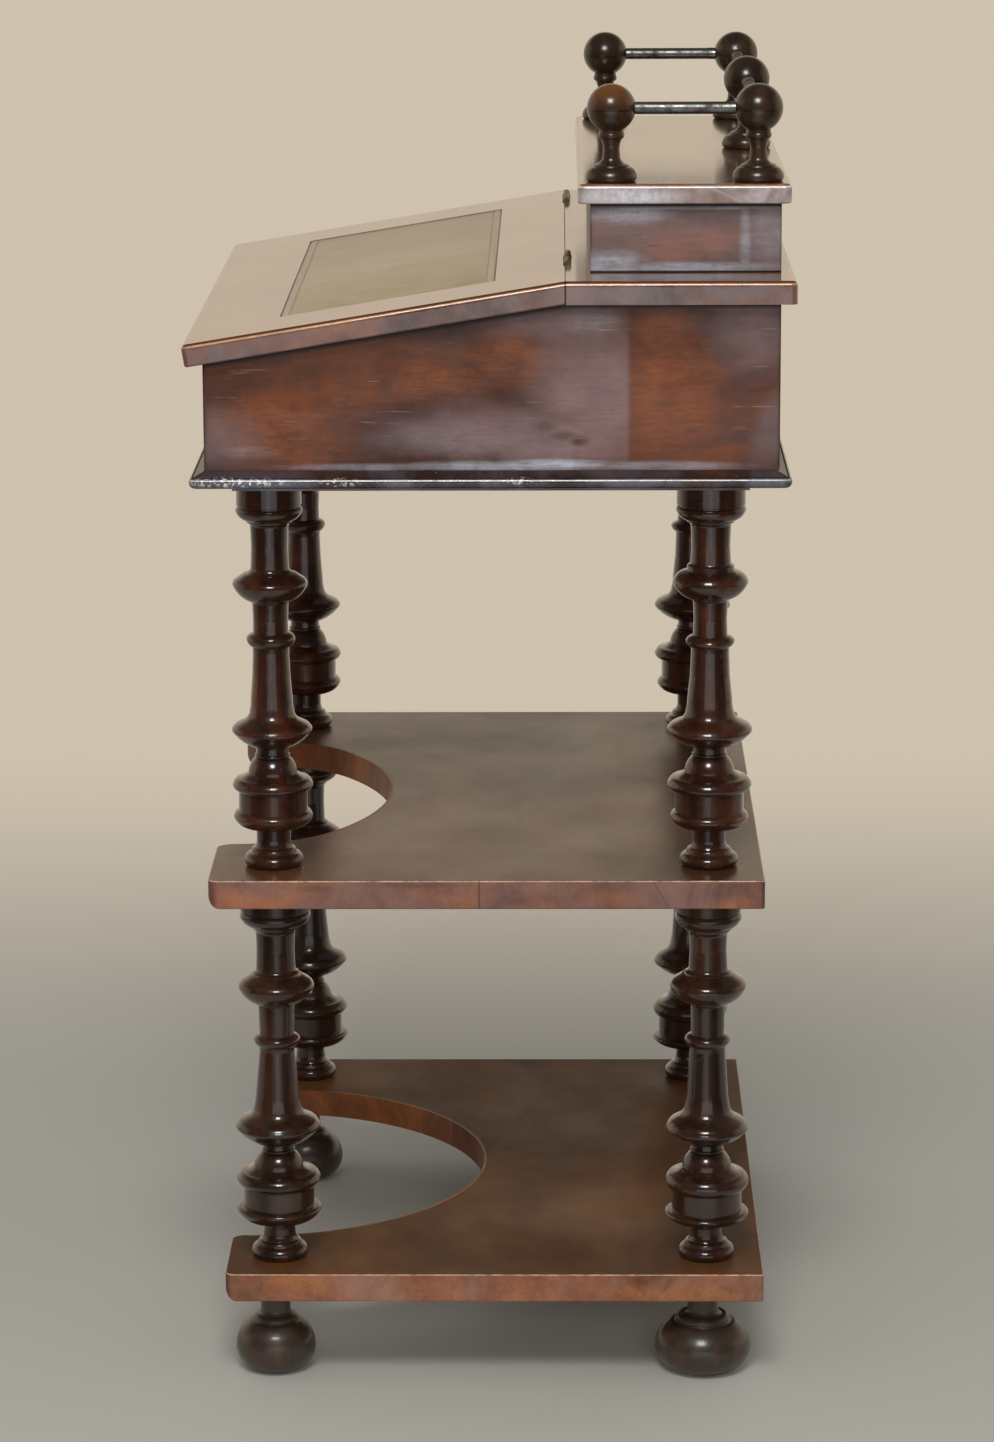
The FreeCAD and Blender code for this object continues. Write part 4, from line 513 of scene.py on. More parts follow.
# Marks (glows, painted sheens, painted sheen veils, dark marks, painted highlights, and chips with painted
# glints) lie on a board's right-hand end face, which is "face" out along X; "depth" is how far a mark
# reaches in from there.
boardLooks = {
    "case": {
        **mahogany, "hazySheen": 0.16, "face": 0.278, "depth": 0.6,
        "glows": [
            (-0.148, 0.746, 0.080, 0.040, 0.80), (-0.095, 0.764, 0.055, 0.026, 0.45),
            (-0.035, 0.775, 0.055, 0.026, 0.80), (0.014, 0.796, 0.045, 0.028, 0.70),
            (0.128, 0.775, 0.058, 0.056, 1.00), (0.128, 0.820, 0.030, 0.020, 0.50),
            (0.165, 0.728, 0.050, 0.012, 0.50),
        ],
        "sheens": [
            (-0.020, 0.732, 0.085, 0.020, 0.75), (-0.205, 0.738, 0.050, 0.030, 0.45),
            (0.195, 0.815, 0.050, 0.050, 0.40), (0.205, 0.740, 0.020, 0.040, 0.40),
        ],
        "sheenVeilEnd": 0.102,  # the painted sheen veil stops short along Y
        # painted shadow lines under the flap and under the ledge
        "jointAndShadowLines": [((0, -0.16275, 0.98666), 0.8185, 0.0052, 1.0), ((0, 0, 1), 0.8390, 0.0050, 1.0)],
        # painted sheen: a mauve wash of reflection over the middle of the case side
        "veils": [
            (0.075, 0.775, 0.065, 0.075, 0.85), (0.040, 0.740, 0.110, 0.032, 0.85),
            (0.045, 0.826, 0.080, 0.024, 0.60),
        ],
        # darker spots, and darker stripes along the face's two ends
        "knots": [
            (0.066, 0.737, 0.010, 0.006, 0.9), (0.054, 0.741, 0.014, 0.005, 0.7),
            (0.041, 0.748, 0.012, 0.006, 0.6), (0.083, 0.836, 0.006, 0.004, 0.9),
            (-0.2115, 0.750, 0.006, 0.200, 0.9), (0.2135, 0.750, 0.004, 0.200, 0.8),
        ],
        # painted highlights: bluish-white streaks low on the case side and a few faint patches
        "blooms": [
            (0.050, 0.7200, 0.050, 0.0050, 1.0), (0.010, 0.7185, 0.100, 0.0055, 0.75),
            (-0.080, 0.7178, 0.100, 0.0040, 0.45), (0.130, 0.7185, 0.080, 0.0050, 0.45),
            (0.075, 0.826, 0.030, 0.014, 0.15), (-0.175, 0.729, 0.030, 0.007, 0.12),
        ],
    },
    "caseAcross": {**mahogany, "grain": "X"},
    "top": {
        **mahogany, "grain": "X", "figureScale": 20.0, "hazySheen": 0.65, "hazySheenColour": (0.115, 0.086, 0.090),
        "tones": [
            (0.34, (0.030, 0.013, 0.010)), (0.46, (0.062, 0.026, 0.018)),
            (0.56, (0.120, 0.044, 0.024)), (0.68, (0.180, 0.064, 0.030)),
        ],
        "wear": 1.0, "wearColour": (0.250, 0.062, 0.010), "gloss": 0.30, "topShine": 0.5,
        "topColour": (0.100, 0.045, 0.026), "topLight": (0.190, 0.090, 0.050),
        "ior": 1.5, "coat": 0.8, "coatRoughness": 0.09, "ripple": 0.25,
        # painted shade along the gap between the ledge and the flap
        "jointAndShadowLines": [((0, 1, 0), 0.0556, 0.0011, 0.9)],
        # painted highlight line along the arris, and a painted dark strip of reflection above it
        "highlightLine": 0.75, "highlightLineColour": (0.48, 0.25, 0.10),
        "darkStrip": 0.9, "stripColour": (0.060, 0.022, 0.006),
    },
    "lid": {
        **mahogany, "grain": "X", "figureScale": 18.0, "hazySheen": 0.95, "hazySheenColour": (0.360, 0.315, 0.330),
        "face": 0.250, "depth": 0.6,
        # painted highlight: a pale bluish patch on the lid's end
        "blooms": [(0.100, 0.913, 0.060, 0.010, 0.8)], "bloomColour": (0.480, 0.490, 0.540),
        # painted pale highlight line along the lid's arrises
        "highlightLine": 0.8, "highlightLineColour": (0.62, 0.56, 0.52),
        # paler, greyer tones than the other boards: painted sheen on the lid
        "tones": [
            (0.34, (0.090, 0.050, 0.040)), (0.46, (0.140, 0.090, 0.075)),
            (0.56, (0.190, 0.130, 0.115)), (0.68, (0.240, 0.170, 0.150)),
        ],
        "wear": 1.0, "wearColour": (0.190, 0.050, 0.010), "gloss": 0.30, "topShine": 0.5,
        "topColour": (0.070, 0.034, 0.018), "topLight": (0.120, 0.060, 0.030),
        "ior": 1.5, "coat": 0.8, "coatRoughness": 0.09, "ripple": 0.25,
    },
    "box": {
        **mahogany, "hazySheen": 0.40, "hazySheenColour": (0.125, 0.105, 0.120), "face": 0.239, "depth": 0.6,
        "glowColour": (0.200, 0.090, 0.066), "bloomColour": (0.300, 0.310, 0.350),
        "tones": [
            (0.34, (0.060, 0.040, 0.036)), (0.46, (0.090, 0.060, 0.056)),
            (0.56, (0.125, 0.078, 0.070)), (0.68, (0.160, 0.098, 0.084)),
        ],
        "glows": [(0.150, 0.876, 0.055, 0.020, 0.8)],
        # painted highlights: bluish-white patches and streaks on the box side
        "blooms": [
            (0.085, 0.862, 0.040, 0.014, 1.0), (0.100, 0.899, 0.045, 0.010, 0.7),
            (0.150, 0.8595, 0.100, 0.006, 0.8), (0.188, 0.875, 0.006, 0.050, 0.5),
            (0.205, 0.885, 0.020, 0.030, 0.3), (0.145, 0.9035, 0.120, 0.0022, 0.6),
        ],
        "knots": [(0.073, 0.880, 0.0035, 0.2, 1.0), (0.2155, 0.880, 0.003, 0.2, 1.0)],
        # a painted shadow line under the lid, and a dark line at the box's foot
        "jointAndShadowLines": [((0, 0, 1), 0.9070, 0.0042, 1.0), ((0, 0, 1), 0.8560, 0.0016, 1.0)],
    },
    "boxAcross": {**mahogany, "grain": "X", "hazySheen": 0.3, "hazySheenColour": (0.125, 0.105, 0.120)},
    "shelf": {
        **mahogany, "grain": "X", "hazySheen": 0.50, "hazySheenColour": (0.205, 0.108, 0.088),
        "gloss": 0.36, "scratch": 0.02, "poreDepth": 0.0, "face": 0.282, "depth": 0.02,
        "glowColour": (0.290, 0.088, 0.020), "jointAndShadowColour": (0.045, 0.018, 0.013),
        "glows": [
            (-0.175, 0.393, 0.050, 0.013, 1.0), (-0.030, 0.390, 0.040, 0.010, 0.45),
            (0.100, 0.393, 0.030, 0.010, 0.45), (0.185, 0.390, 0.020, 0.010, 0.50),
        ],
        "knots": [
            (-0.212, 0.393, 0.007, 0.03, 0.8), (0.205, 0.393, 0.005, 0.03, 0.8),
            (-0.060, 0.4010, 0.060, 0.0035, 0.6), (-0.130, 0.398, 0.030, 0.004, 0.5),
            (-0.090, 0.404, 0.020, 0.003, 0.3, 0.10),
        ],
        "sideSeams": [  # butted lengths of the edge veneer
            ((0, 1, 0), -0.0092, 0.0011, 0.70), ((0, 0.866, 0.500), 0.3068, 0.0007, 0.5),
        ],
        "tones": [
            (0.34, (0.052, 0.021, 0.014)), (0.46, (0.105, 0.042, 0.027)),
            (0.56, (0.155, 0.062, 0.038)), (0.68, (0.215, 0.084, 0.047)),
        ],
        "topShine": 0.8, "topColour": (0.050, 0.021, 0.010), "topLight": (0.104, 0.044, 0.020),
        "wear": 0.95, "wearColour": (0.54, 0.34, 0.22), "ior": 1.5, "coat": 0.1, "coatRoughness": 0.2,
    },
    "lowerShelf": {
        **mahogany, "grain": "X", "hazySheen": 0.60, "hazySheenColour": (0.250, 0.150, 0.120),
        "gloss": 0.40, "scratch": 0.03, "poreDepth": 0.0, "face": 0.278, "depth": 0.02,
        "glowColour": (0.310, 0.125, 0.040),
        "glows": [(-0.150, 0.080, 0.050, 0.012, 0.7), (0.140, 0.080, 0.070, 0.012, 0.7)],
        "tones": [
            (0.34, (0.090, 0.036, 0.022)), (0.46, (0.160, 0.066, 0.040)),
            (0.56, (0.225, 0.092, 0.052)), (0.68, (0.290, 0.120, 0.064)),
        ],
        "topShine": 1.1, "topColour": (0.066, 0.028, 0.011), "topLight": (0.125, 0.052, 0.018),
        "wear": 0.9, "wearColour": (0.52, 0.34, 0.24), "ior": 1.22, "coat": 0.0, "coatRoughness": 0.25,
        "knots": [(-0.2065, 0.080, 0.006, 0.03, 0.9)], "knotDepth": 0.2,
    },
    "base": {
        **mahogany, "grain": "X", "hazySheen": 0.85, "hazySheenColour": (0.085, 0.085, 0.108), "gloss": 0.36,
        "tones": [
            (0.32, (0.008, 0.0045, 0.004)), (0.45, (0.016, 0.0075, 0.006)),
            (0.58, (0.030, 0.012, 0.008)), (0.72, (0.060, 0.022, 0.011)),
        ],
        "topShine": 1.6, "topColour": (0.0060, 0.0030, 0.0018), "topLight": (0.0140, 0.0060, 0.0030),
        "wear": 0.20, "wearColour": (0.120, 0.034, 0.007), "ior": 1.20, "coat": 1.0, "coatRoughness": 0.15,
        # painted white highlight line along the bullnose
        "highlightLine": 0.95, "highlightLineColour": (0.42, 0.41, 0.43),
        # chips along the nose, with their glints painted silver-white
        "topCoat": 0.0, "ripple": 0.6, "chipAndGlintColour": (0.52, 0.53, 0.55), "face": 0.290, "depth": 0.010,
        "chips": [
            (-0.185, 0.7085, 0.050, 0.0050, 1.0), (-0.110, 0.7085, 0.020, 0.0045, 0.7),
            (0.022, 0.7095, 0.012, 0.0035, 0.8),
        ],
    },
    "banding": {
        **mahogany, "grain": "Z", "hazySheen": 0.05,
        "tones": [
            (0.30, (0.060, 0.018, 0.007)), (0.45, (0.120, 0.036, 0.010)),
            (0.56, (0.190, 0.058, 0.013)), (0.70, (0.270, 0.090, 0.020)),
        ],
        "gloss": 0.3,
    },
    "oak": {
        **mahogany, "grain": "Y", "figureScale": 16.0, "hazySheen": 0.0, "scratch": 0.0,
        "tones": [
            (0.30, (0.150, 0.085, 0.040)), (0.45, (0.230, 0.140, 0.070)),
            (0.56, (0.300, 0.190, 0.100)), (0.70, (0.370, 0.250, 0.140)),
        ],
        "poreColour": (0.08, 0.04, 0.02), "gloss": 0.55, "coat": 0.0,
    },
}


def turnedMaterial(name, look):
    # dark polish over turned wood: streaks up the piece, fine turning lines, and darker colour in the
    # quirks, read from ambient occlusion
    material, tree, shader, where = newMaterial(name)
    streak = noise(tree, grainVector(tree, where, "Z", 0.07), look["streakScale"], 6, 0.6)
    cloud = noise(tree, where, look["cloudScale"], 4, 0.6, 0.5)
    tone = plus(tree, times(tree, streak, 0.6), times(tree, cloud, 0.4))
    colour = colourRamp(tree, tone, look["tones"])
    quirks = {"Distance": look["quirk"]}
    hollow = put(tree, "ShaderNodeAmbientOcclusion", quirks, samples=4, only_local=True)
    hollowDarkening = remap(tree, hollow.outputs["AO"], 0.78, 0.30, 0.0, look["hollowDarkening"])
    colour = mixColour(tree, hollowDarkening, colour, look["darkHollowColour"])
    nick = noise(tree, where, look["nickScale"], 3, 0.6)
    scuff = times(tree, remap(tree, nick, 0.66, 0.72), look["scuff"])
    colour = mixColour(tree, scuff, colour, look["scuffColour"])
    # painted warm highlight patches
    if "glows" in look:
        glow = times(tree, patches(tree, where, look["glows"]), remap(tree, cloud, 0.3, 0.6, 0.6, 1.0))
        colour = mixColour(tree, glow, colour, look["glowColour"])
    if "jointAndShadowLines" in look:
        colour = mixColour(tree, jointAndShadowLines(tree, where, look["jointAndShadowLines"]), colour, look["darkHollowColour"])

    gloss = remap(tree, cloud, *usualNoise, look["gloss"] * 0.75, look["gloss"] * 1.35)
    gloss = plus(tree, gloss, times(tree, hollowDarkening, 0.3))
    lines = noise(tree, stretched(tree, where, (0.02, 0.02, 1.0)), look["lineScale"], 2, 0.5)
    wave = noise(tree, grainVector(tree, where, "Z", 0.5), look["waveScale"], 2, 0.5)
    height = plus(tree, times(tree, lines, 0.05), times(tree, wave, 0.35))
    height = plus(tree, height, times(tree, streak, 0.10))
    height = minus(tree, height, times(tree, scuff, 0.2))
    setSockets(tree, shader, {
        "Base Color": colour,
        "Roughness": gloss,
        "Normal": bumpOf(tree, height, 0.4, 0.001),
        "IOR": look["ior"],
        "Coat Weight": look["coat"],
        "Coat Roughness": look["coatRoughness"],
        "Coat IOR": 1.5,
    })
    return material


darkTurning = {
    "tones": [
        (0.32, (0.0100, 0.0040, 0.0022)), (0.47, (0.0220, 0.0072, 0.0032)),
        (0.57, (0.0400, 0.0120, 0.0048)), (0.68, (0.0780, 0.0200, 0.0068)),
    ],
    "hollowDarkening": 0.85, "darkHollowColour": (0.006, 0.004, 0.003),
    "scuff": 0.35, "scuffColour": (0.10, 0.045, 0.022),
    "gloss": 0.26, "ior": 1.30, "coat": 1.0, "coatRoughness": 0.13,
    # how fine each pattern is, and how far the darkening in a quirk reaches
    "streakScale": 75.0, "cloudScale": 26.0, "nickScale": 240.0, "lineScale": 1500.0,
    "waveScale": 60.0, "quirk": 0.014,
}

turnedLooks = {
    "column": darkTurning,
    "lowerColumn": {**darkTurning, "tones": [
        (0.32, (0.0085, 0.0045, 0.0028)), (0.47, (0.0170, 0.0075, 0.0040)),
        (0.57, (0.0300, 0.0110, 0.0052)), (0.68, (0.0560, 0.0170, 0.0070)),
    ]},
    "foot": {**darkTurning, "tones": [
        (0.32, (0.0180, 0.0120, 0.0080)), (0.47, (0.0300, 0.0190, 0.0120)),
        (0.57, (0.0440, 0.0250, 0.0150)), (0.68, (0.0750, 0.0350, 0.0180)),
    ], "gloss": 0.40, "ior": 1.45, "coat": 0.55, "coatRoughness": 0.19, "scuff": 0.6},
    "post": {
        **darkTurning, "tones": [
            (0.32, (0.0110, 0.0065, 0.0035)), (0.47, (0.0220, 0.0115, 0.0055)),
            (0.57, (0.0400, 0.0185, 0.0075)), (0.68, (0.0800, 0.0330, 0.0110)),
        ],
        "gloss": 0.34, "coat": 0.7, "coatRoughness": 0.21,
        # a painted warm highlight on the top of the near front ball
        "glows": [((0.229, 0.0870, 0.992), (0.028, 0.028, 0.024), 0.75)],
        "glowColour": (0.165, 0.056, 0.012),
        "jointAndShadowLines": [((0, 0, 1), 0.9745, 0.0006, 0.9)],  # the fine line round each ball
    },
}

boardWoods = {name: boardMaterial(name + "Mahogany", look) for name, look in boardLooks.items()}
turnedWoods = {name: turnedMaterial(name + "Turning", look) for name, look in turnedLooks.items()}
print("woods mixed")


def metalMaterial(name, look):
    material, tree, shader, where = newMaterial(name)
    cloud = noise(tree, where, look["cloudScale"], 5, 0.65, 0.4)
    tarnish = remap(tree, cloud, 0.38, 0.66, smooth=True)
    colour = mixColour(tree, tarnish, look["clean"], look["dull"])
    scratch = noise(tree, stretched(tree, where, look["brush"]), look["scratchScale"], 3, 0.6)
    gloss = remap(tree, tarnish, 0.0, 1.0, look["gloss"], look["gloss"] + 0.25)
    setSockets(tree, shader, {
        "Base Color": colour,
        "Metallic": 1.0,
        "Roughness": plus(tree, gloss, times(tree, scratch, 0.10)),
        "Normal": bumpOf(tree, scratch, 0.25, 0.0003),
    })
    return material


oldMetal = {"cloudScale": 90.0, "scratchScale": 900.0, "brush": (0.1, 1, 1)}

metalLooks = {
    "agedBrass": {
        **oldMetal, "clean": (0.36, 0.29, 0.19), "dull": (0.15, 0.12, 0.085), "gloss": 0.36,
    },
    "blackSteel": {
        **oldMetal, "clean": (0.22, 0.21, 0.20), "dull": (0.09, 0.08, 0.075), "gloss": 0.35,
    },
    "rodSteel": {
        **oldMetal, "clean": (0.26, 0.27, 0.245), "dull": (0.10, 0.10, 0.082), "gloss": 0.28,
        "brush": (1, 1, 1),
    },
}
metals = {name: metalMaterial(name, look) for name, look in metalLooks.items()}


leatherSettings = {
    "hingeEdge": (0.0556, 0.8560),  # Y and Z of the flap's upper edge
    "tilt": 9.37,  # degrees
    "width": 0.4430,
    "reach": 0.1610,
    "middle": 0.1335,  # down the flap from the hinge edge
    "thickness": 0.0009,
    "sunk": 0.0003,
    "border": 0.0054,  # the tooled line's distance in from the edge
    "line": 0.0009,
    "lineDepth": 0.00055,
    "edgeRound": 0.0003,
    "tones": [
        (0.32, (0.300, 0.224, 0.122)), (0.48, (0.375, 0.288, 0.170)), (0.66, (0.430, 0.338, 0.208)),
    ],
    "borderColour": (0.20, 0.15, 0.12),
    "toolingAndEdgeShadeColour": (0.050, 0.036, 0.018),
    # where the painted shade along the leather's edges begins to fade, and ends, along the long and the
    # short edges
    "endOutline": (0.0006, 0.0013),
    "sideOutline": (0.0016, 0.0036),
    "cloudScale": 8.0,
    "blotchScale": 30.0,
    "cellScale": 900.0,
    "creaseScale": 260.0,
}


def downFlap(settings):
    # the direction down the flap, the one into it, and the middle of the leather's bed
    turn = math.radians(settings["tilt"])
    along = Vector((0, -math.cos(turn), -math.sin(turn)))
    into = Vector((0, math.sin(turn), -math.cos(turn)))
    return along, into, Vector((0, *settings["hingeEdge"])) + along * settings["middle"]


def leatherMaterial(name, settings):
    material, tree, shader, where = newMaterial(name)
    cloud = noise(tree, where, settings["cloudScale"], 5, 0.6, 0.6)
    blotch = noise(tree, where, settings["blotchScale"], 4, 0.6)
    tone = plus(tree, times(tree, cloud, 0.65), times(tree, blotch, 0.35))
    colour = colourRamp(tree, tone, settings["tones"])

    # how far in from the short and from the long edges
    along, _, middle = downFlap(settings)
    side = calc(tree, "ABSOLUTE", axes(tree, where)["X"])
    side = minus(tree, settings["width"] / 2, side)
    end = vectorCalc(tree, "DOT_PRODUCT", where, along, "Value")
    end = calc(tree, "ABSOLUTE", minus(tree, end, middle.dot(along)))
    end = minus(tree, settings["reach"] / 2, end)
    inward = calc(tree, "MINIMUM", side, end)

    groove = settings["border"] + settings["line"]
    border = remap(tree, inward, groove + 0.0003, groove - 0.0003, 0.0, 0.16)
    colour = mixColour(tree, border, colour, settings["borderColour"])
    fromGroove = calc(tree, "ABSOLUTE", minus(tree, inward, groove))
    # the tooled line, and painted shade along the edges where the leather meets the wood
    dark = strongest(tree, [
        remap(tree, fromGroove, 0.0010, 0.0005, 0.0, 0.55),
        remap(tree, end, *reversed(settings["endOutline"]), 0.0, 0.75),
        remap(tree, side, *reversed(settings["sideOutline"]), 0.0, 0.75),
    ])
    colour = mixColour(tree, dark, colour, settings["toolingAndEdgeShadeColour"])

    cells = {"Vector": where, "Scale": settings["cellScale"]}
    cell = put(tree, "ShaderNodeTexVoronoi", cells, feature="DISTANCE_TO_EDGE")
    grain = remap(tree, cell.outputs["Distance"], 0.0, 0.25)
    crease = noise(tree, where, settings["creaseScale"], 4, 0.7)
    height = plus(tree, times(tree, grain, 0.4), times(tree, crease, 0.6))
    setSockets(tree, shader, {
        "Base Color": colour,
        "Roughness": remap(tree, cloud, *usualNoise, 0.38, 0.52),
        "Normal": bumpOf(tree, height, 0.4, 0.0004),
        "IOR": 1.5,
        "Coat Weight": 0.6,
        "Coat Roughness": 0.25,
    })
    return material


writingLeather = leatherMaterial("writingLeather", leatherSettings)

finishes = [
    # the first pattern that a node's name fits gives its finish
    ("foot_*", turnedWoods["foot"]),
    ("lower_column_*", turnedWoods["lowerColumn"]),
    ("upper_column_*", turnedWoods["column"]),
    ("gallery_post_*", turnedWoods["post"]),
    ("*_knob", turnedWoods["post"]),
    ("gallery_rod_*", metals["rodSteel"]),
    ("*_banding", boardWoods["banding"]),
    ("lower_shelf", boardWoods["lowerShelf"]),
    ("middle_shelf", boardWoods["shelf"]),
    ("*base_board", boardWoods["base"]),
    ("case_side_*", boardWoods["case"]),
    ("case_*", boardWoods["caseAcross"]),
    ("drawer_*_front", boardWoods["caseAcross"]),
    ("drawer_*", boardWoods["oak"]),
    ("lid_board", boardWoods["lid"]),
    ("ledge_board", boardWoods["top"]),
    ("slope_board", boardWoods["top"]),
    ("stationery_side_*", boardWoods["box"]),
    ("stationery_*", boardWoods["boxAcross"]),
    ("leather_inset", writingLeather),
    ("lock_case", metals["blackSteel"]),
    ("lock_bolt", metals["blackSteel"]),
    ("*", metals["agedBrass"]),  # hinges, pins, link plate and keyhole liner
]
for nodeName, node in nodes.items():
    node.data.materials.clear()
    node.data.materials.append(next(finish for pattern, finish in finishes if fnmatch(nodeName, pattern)))
print("finishes laid on")


smoothAngle = math.radians(35)


def startPiece():
    if bpy.context.mode != "OBJECT":
        bpy.ops.object.mode_set(mode="OBJECT")
    bpy.ops.object.select_all(action="DESELECT")


def nothingChosen(kind):
    # nothing selected, and object mode, in which faces, edges or vertices are picked in code
    bpy.ops.object.mode_set(mode="EDIT")
    bpy.ops.mesh.select_mode(type=kind)
    bpy.ops.mesh.select_all(action="DESELECT")
    bpy.ops.object.mode_set(mode="OBJECT")
    return bpy.context.object.data


def chooseFaces(test):
    # the test is given the middle and the normal of each face
    for face in nothingChosen("FACE").polygons:
        face.select = test(face.center, face.normal)
    bpy.ops.object.mode_set(mode="EDIT")


def chooseVertices(test):
    for vertex in nothingChosen("VERT").vertices:
        vertex.select = test(vertex.co)
    bpy.ops.object.mode_set(mode="EDIT")


def chooseEdges(test):
    mesh = nothingChosen("EDGE")
    for edge in mesh.edges:
        first, second = (mesh.vertices[index].co for index in edge.vertices)
        edge.select = test(first, second)
    bpy.ops.object.mode_set(mode="EDIT")


def settle(name, material, body, replaced):
    # the finished piece: its place goes into its mesh, then it is named, finished and put on its body
    bpy.ops.object.transform_apply(location=True, rotation=True, scale=True)
    piece = bpy.context.object
    piece.name = name
    piece.data.name = name
    piece.data.materials.clear()
    piece.data.materials.append(material)
    bpy.ops.object.shade_smooth_by_angle(angle=smoothAngle)
    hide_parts(replaced)
    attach(piece, body)


def copyPiece(source, name, matrix):
    piece = source.copy()
    piece.data = source.data.copy()
    piece.name = name
    piece.data.name = name
    bpy.context.scene.collection.objects.link(piece)
    piece.data.transform(matrix)
    return piece


def makeLeather(settings):
    # a sheet with a rounded edge and a tooled line round it, laid in the flap
    startPiece()
    bpy.ops.mesh.primitive_cube_add(
        size=1, scale=(settings["width"], settings["reach"], settings["thickness"]))
    bpy.ops.object.transform_apply(location=True, rotation=True, scale=True)
    top = settings["thickness"] / 2
    chooseEdges(lambda first, second: first.z > 0 and second.z > 0)
    bpy.ops.mesh.bevel(offset=settings["edgeRound"], segments=3)
    chooseFaces(lambda place, normal: normal.z > 0.99 and place.z > top * 0.99)
    bpy.ops.mesh.inset(thickness=settings["border"])
    bpy.ops.mesh.inset(thickness=settings["line"], depth=-settings["lineDepth"])
    bpy.ops.mesh.inset(thickness=settings["line"], depth=settings["lineDepth"])
    bpy.ops.object.mode_set(mode="OBJECT")
    _, into, middle = downFlap(settings)
    bpy.context.object.rotation_euler = (math.radians(settings["tilt"]), 0, 0)
    bpy.context.object.location = middle + into * (settings["sunk"] + top)
    settle("writing_leather", writingLeather, "writing_slope", "leather_inset")


makeLeather(leatherSettings)
print("leather laid in the flap")


rodSettings = {
    "radius": 0.00475,
    "valley": 0.92,  # radius between two ridges, as a share of the full radius
    "pitch": 0.0024,
    "smoothEnd": 0.0135,
    "nearness": 0.1,  # how near its even place a cut ring has to lie to be moved, in pitches
    "sides": 28,
    "height": 0.9753,
    "places": [
        # node, the axis it lies along, start and end on that axis, place on the other one
        ("gallery_rod_left", "Y", 0.0994, 0.1876, -0.227),
        ("gallery_rod_right", "Y", 0.0994, 0.1876, 0.227),
        ("gallery_rod_rear_left", "X", -0.2171, -0.0099, 0.1975),
        ("gallery_rod_rear_right", "X", 0.0099, 0.2171, 0.1975),
    ],
}


def makeRod(settings, nodeName, axis, start, end, across):
    # a drawn rod with fine turned ridges and one plain end
    startPiece()
    length = end - start
    foot = -length / 2
    ridges = round((length - settings["smoothEnd"]) / settings["pitch"])
    pitch = (length - settings["smoothEnd"]) / ridges
    bpy.ops.mesh.primitive_cylinder_add(
        vertices=settings["sides"], radius=settings["radius"], depth=length)
    chooseEdges(lambda first, second: abs(first.z - second.z) > length / 2)
    # The cut rings close up to leave the plain end. Subdivide stops at 100 cuts, so on the two
    # long rods only rings that lie near an even place move, and their ridges come out uneven.
    rings = ridges * 2
    apart = length / (rings + 1)
    near = pitch * settings["nearness"]
    bpy.ops.mesh.subdivide(number_cuts=rings)
    bpy.ops.object.mode_set(mode="OBJECT")
    for vertex in bpy.context.object.data.vertices:
        ring = round((vertex.co.z - foot) / apart)
        if 0 < ring <= rings and abs(vertex.co.z - foot - apart * ring) < near:
            vertex.co.z = foot + pitch * ring / 2
    ridged = foot + pitch * ridges + 0.0001
    chooseVertices(lambda place: place.z < ridged and round((place.z - foot) / pitch * 2) % 2 == 1)
    valley = settings["valley"]
    bpy.ops.transform.resize(value=(valley, valley, 1), center_override=(0, 0, 0))
    bpy.ops.object.mode_set(mode="OBJECT")
    rod = bpy.context.object
    middle = (start + end) / 2
    if axis == "Y":
        rod.rotation_euler = (math.radians(-90), 0, 0)
        rod.location = (across, middle, settings["height"])
    else:
        rod.rotation_euler = (0, math.radians(90), 0)
        rod.location = (middle, across, settings["height"])
    settle(nodeName + "_ridged", metals["rodSteel"], "stationery_lid", nodeName)


for rodPlace in rodSettings["places"]:
    makeRod(rodSettings, *rodPlace)
print("gallery rods drawn")


screwSettings = {
    "headRadius": 0.0026,
    "headDepth": 0.0011,
    "rim": 0.00035,
    "slotWidth": 0.0007,
    "slotDepth": 0.0005,
    "foot": 0.55,  # the head's underside, as a share of its top
    "insideRim": 0.0012,  # faces whose middle lies this near the axis are cut by the slot
    "insideSlot": 0.0003,
    "proud": 0.00016,
    "sides": 28,
    "firstTurn": 37,  # degrees, so that no two slots stand alike
    "nextTurn": 53,
}

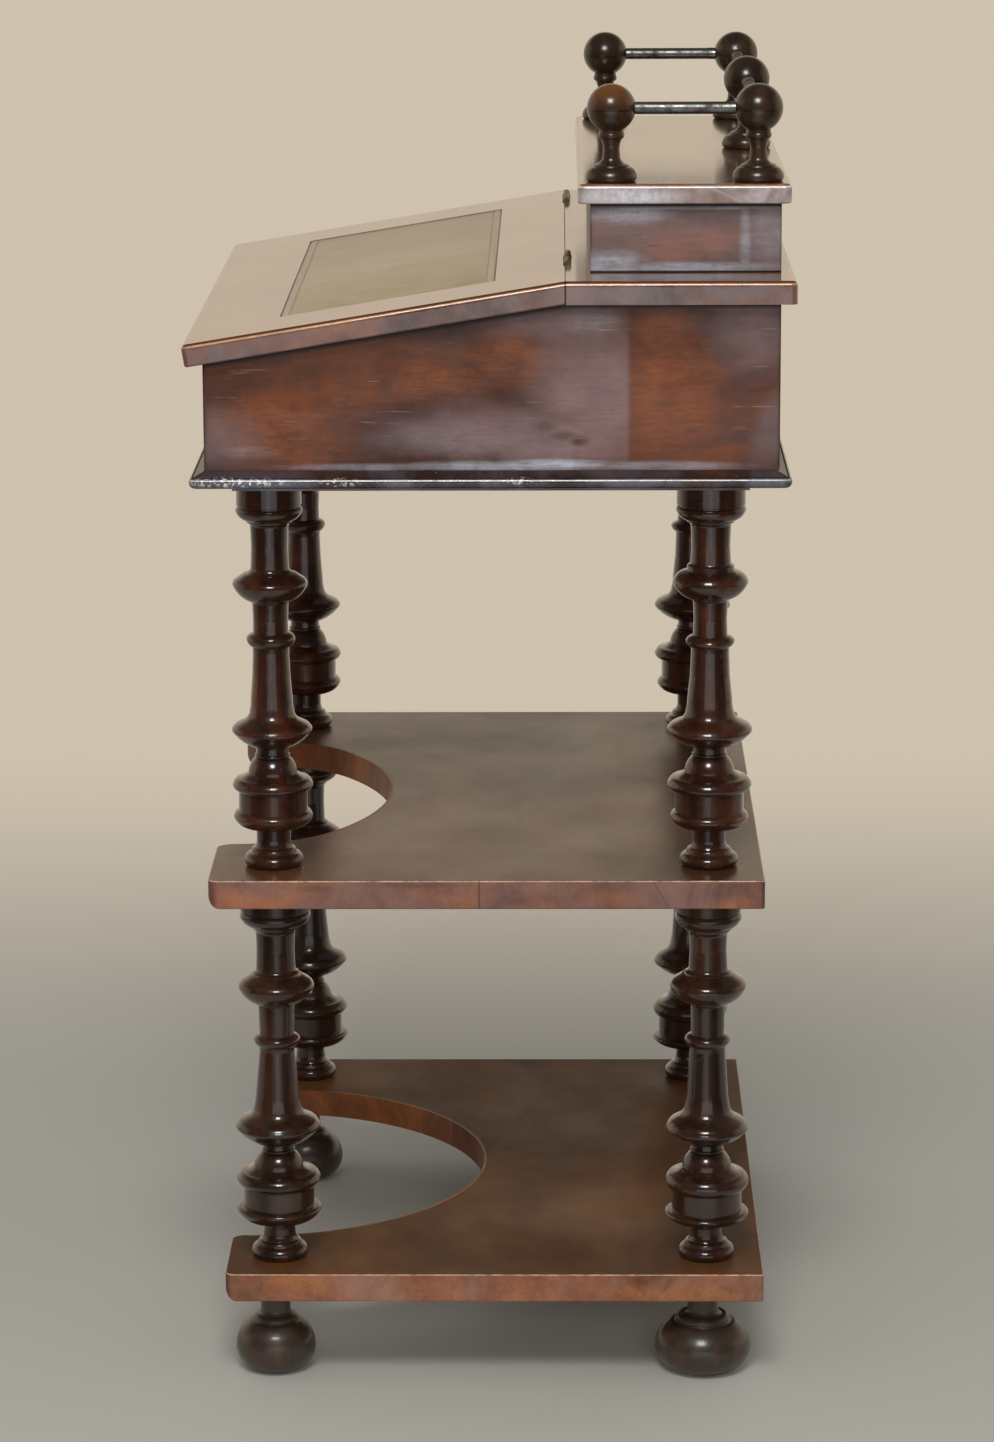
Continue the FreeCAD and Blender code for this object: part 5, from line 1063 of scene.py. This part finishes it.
flapHinges = [middle + step for middle in (-0.222, 0.171) for step in (-0.021, 0, 0.021)]
lidHinges = [middle + step for middle in (-0.150, 0.150) for step in (-0.013, 0.013)]
screwRows = [
    # name, body, slot, metal, outward direction, place of the face at each screw
    ("ledge_leaf_screw", "desk_frame", "hinge_brass", "agedBrass", (0, -1, 0), [
        (x, 0.05585, 0.8485) for x in flapHinges]),
    ("flap_leaf_screw", "writing_slope", "hinge_brass", "agedBrass", (0, 1, 0), [
        (x, 0.05535, 0.8485) for x in flapHinges]),
    ("box_leaf_screw", "desk_frame", "hinge_brass", "agedBrass", (0, 0, 1), [
        (x, 0.2085, 0.9070) for x in lidHinges]),
    ("lid_leaf_screw", "stationery_lid", "hinge_brass", "agedBrass", (0, 0, -1), [
        (x, 0.2085, 0.9075) for x in lidHinges]),
    ("lock_screw", "desk_frame", "lock_steel", "blackSteel", (0, 1, 0), [
        (x, -0.1840, z) for x in (-0.0185, 0.0185) for z in (0.7705, 0.7931)]),
    ("link_screw", "writing_slope", "lock_brass", "agedBrass", (0, 0, -1), [
        (x, -0.1910, 0.7978) for x in (-0.0155, 0.0155)]),
]


def makeScrew(settings):
    # a slotted head, modelled facing up with the board's face at height 0
    startPiece()
    top = settings["proud"]
    bpy.ops.mesh.primitive_cylinder_add(
        vertices=settings["sides"], radius=settings["headRadius"], depth=settings["headDepth"],
        location=(0, 0, top - settings["headDepth"] / 2))
    bpy.ops.object.transform_apply(location=True, rotation=True, scale=True)

    def chooseTop(reach):
        chooseFaces(lambda place, normal: normal.z > 0.99 and place.to_2d().length < reach)

    chooseTop(settings["headRadius"])
    bpy.ops.mesh.inset(thickness=settings["rim"])
    for side in (-1, 1):
        chooseTop(settings["insideRim"])
        bpy.ops.mesh.bisect(plane_co=(side * settings["slotWidth"] / 2, 0, top), plane_no=(1, 0, 0))
    chooseTop(settings["insideSlot"])
    bpy.ops.mesh.extrude_region_move(TRANSFORM_OT_translate={"value": (0, 0, -settings["slotDepth"])})
    chooseFaces(lambda place, normal: normal.z < -0.99)
    foot = settings["foot"]
    bpy.ops.transform.resize(value=(foot, foot, 1), center_override=(0, 0, 0))
    bpy.ops.object.mode_set(mode="OBJECT")
    bpy.ops.object.shade_smooth_by_angle(angle=smoothAngle)
    return bpy.context.object


def fixScrews(settings):
    pattern = makeScrew(settings)
    placed = 0
    for rowName, body, slotName, metal, outward, places in screwRows:
        for number, place in enumerate(places, 1):
            facing = Vector(outward).to_track_quat("Z", "Y").to_matrix().to_4x4()
            spin = math.radians(settings["firstTurn"] + settings["nextTurn"] * placed)
            matrix = Matrix.Translation(place) @ facing @ Matrix.Rotation(spin, 4, "Z")
            screw = copyPiece(pattern, f"{rowName}_{number}", matrix)
            screw.data.materials.clear()
            screw.data.materials.append(metals[metal])
            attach(screw, body)
            placed += 1
    bpy.data.objects.remove(pattern)
    return placed


print("screws driven:", fixScrews(screwSettings))
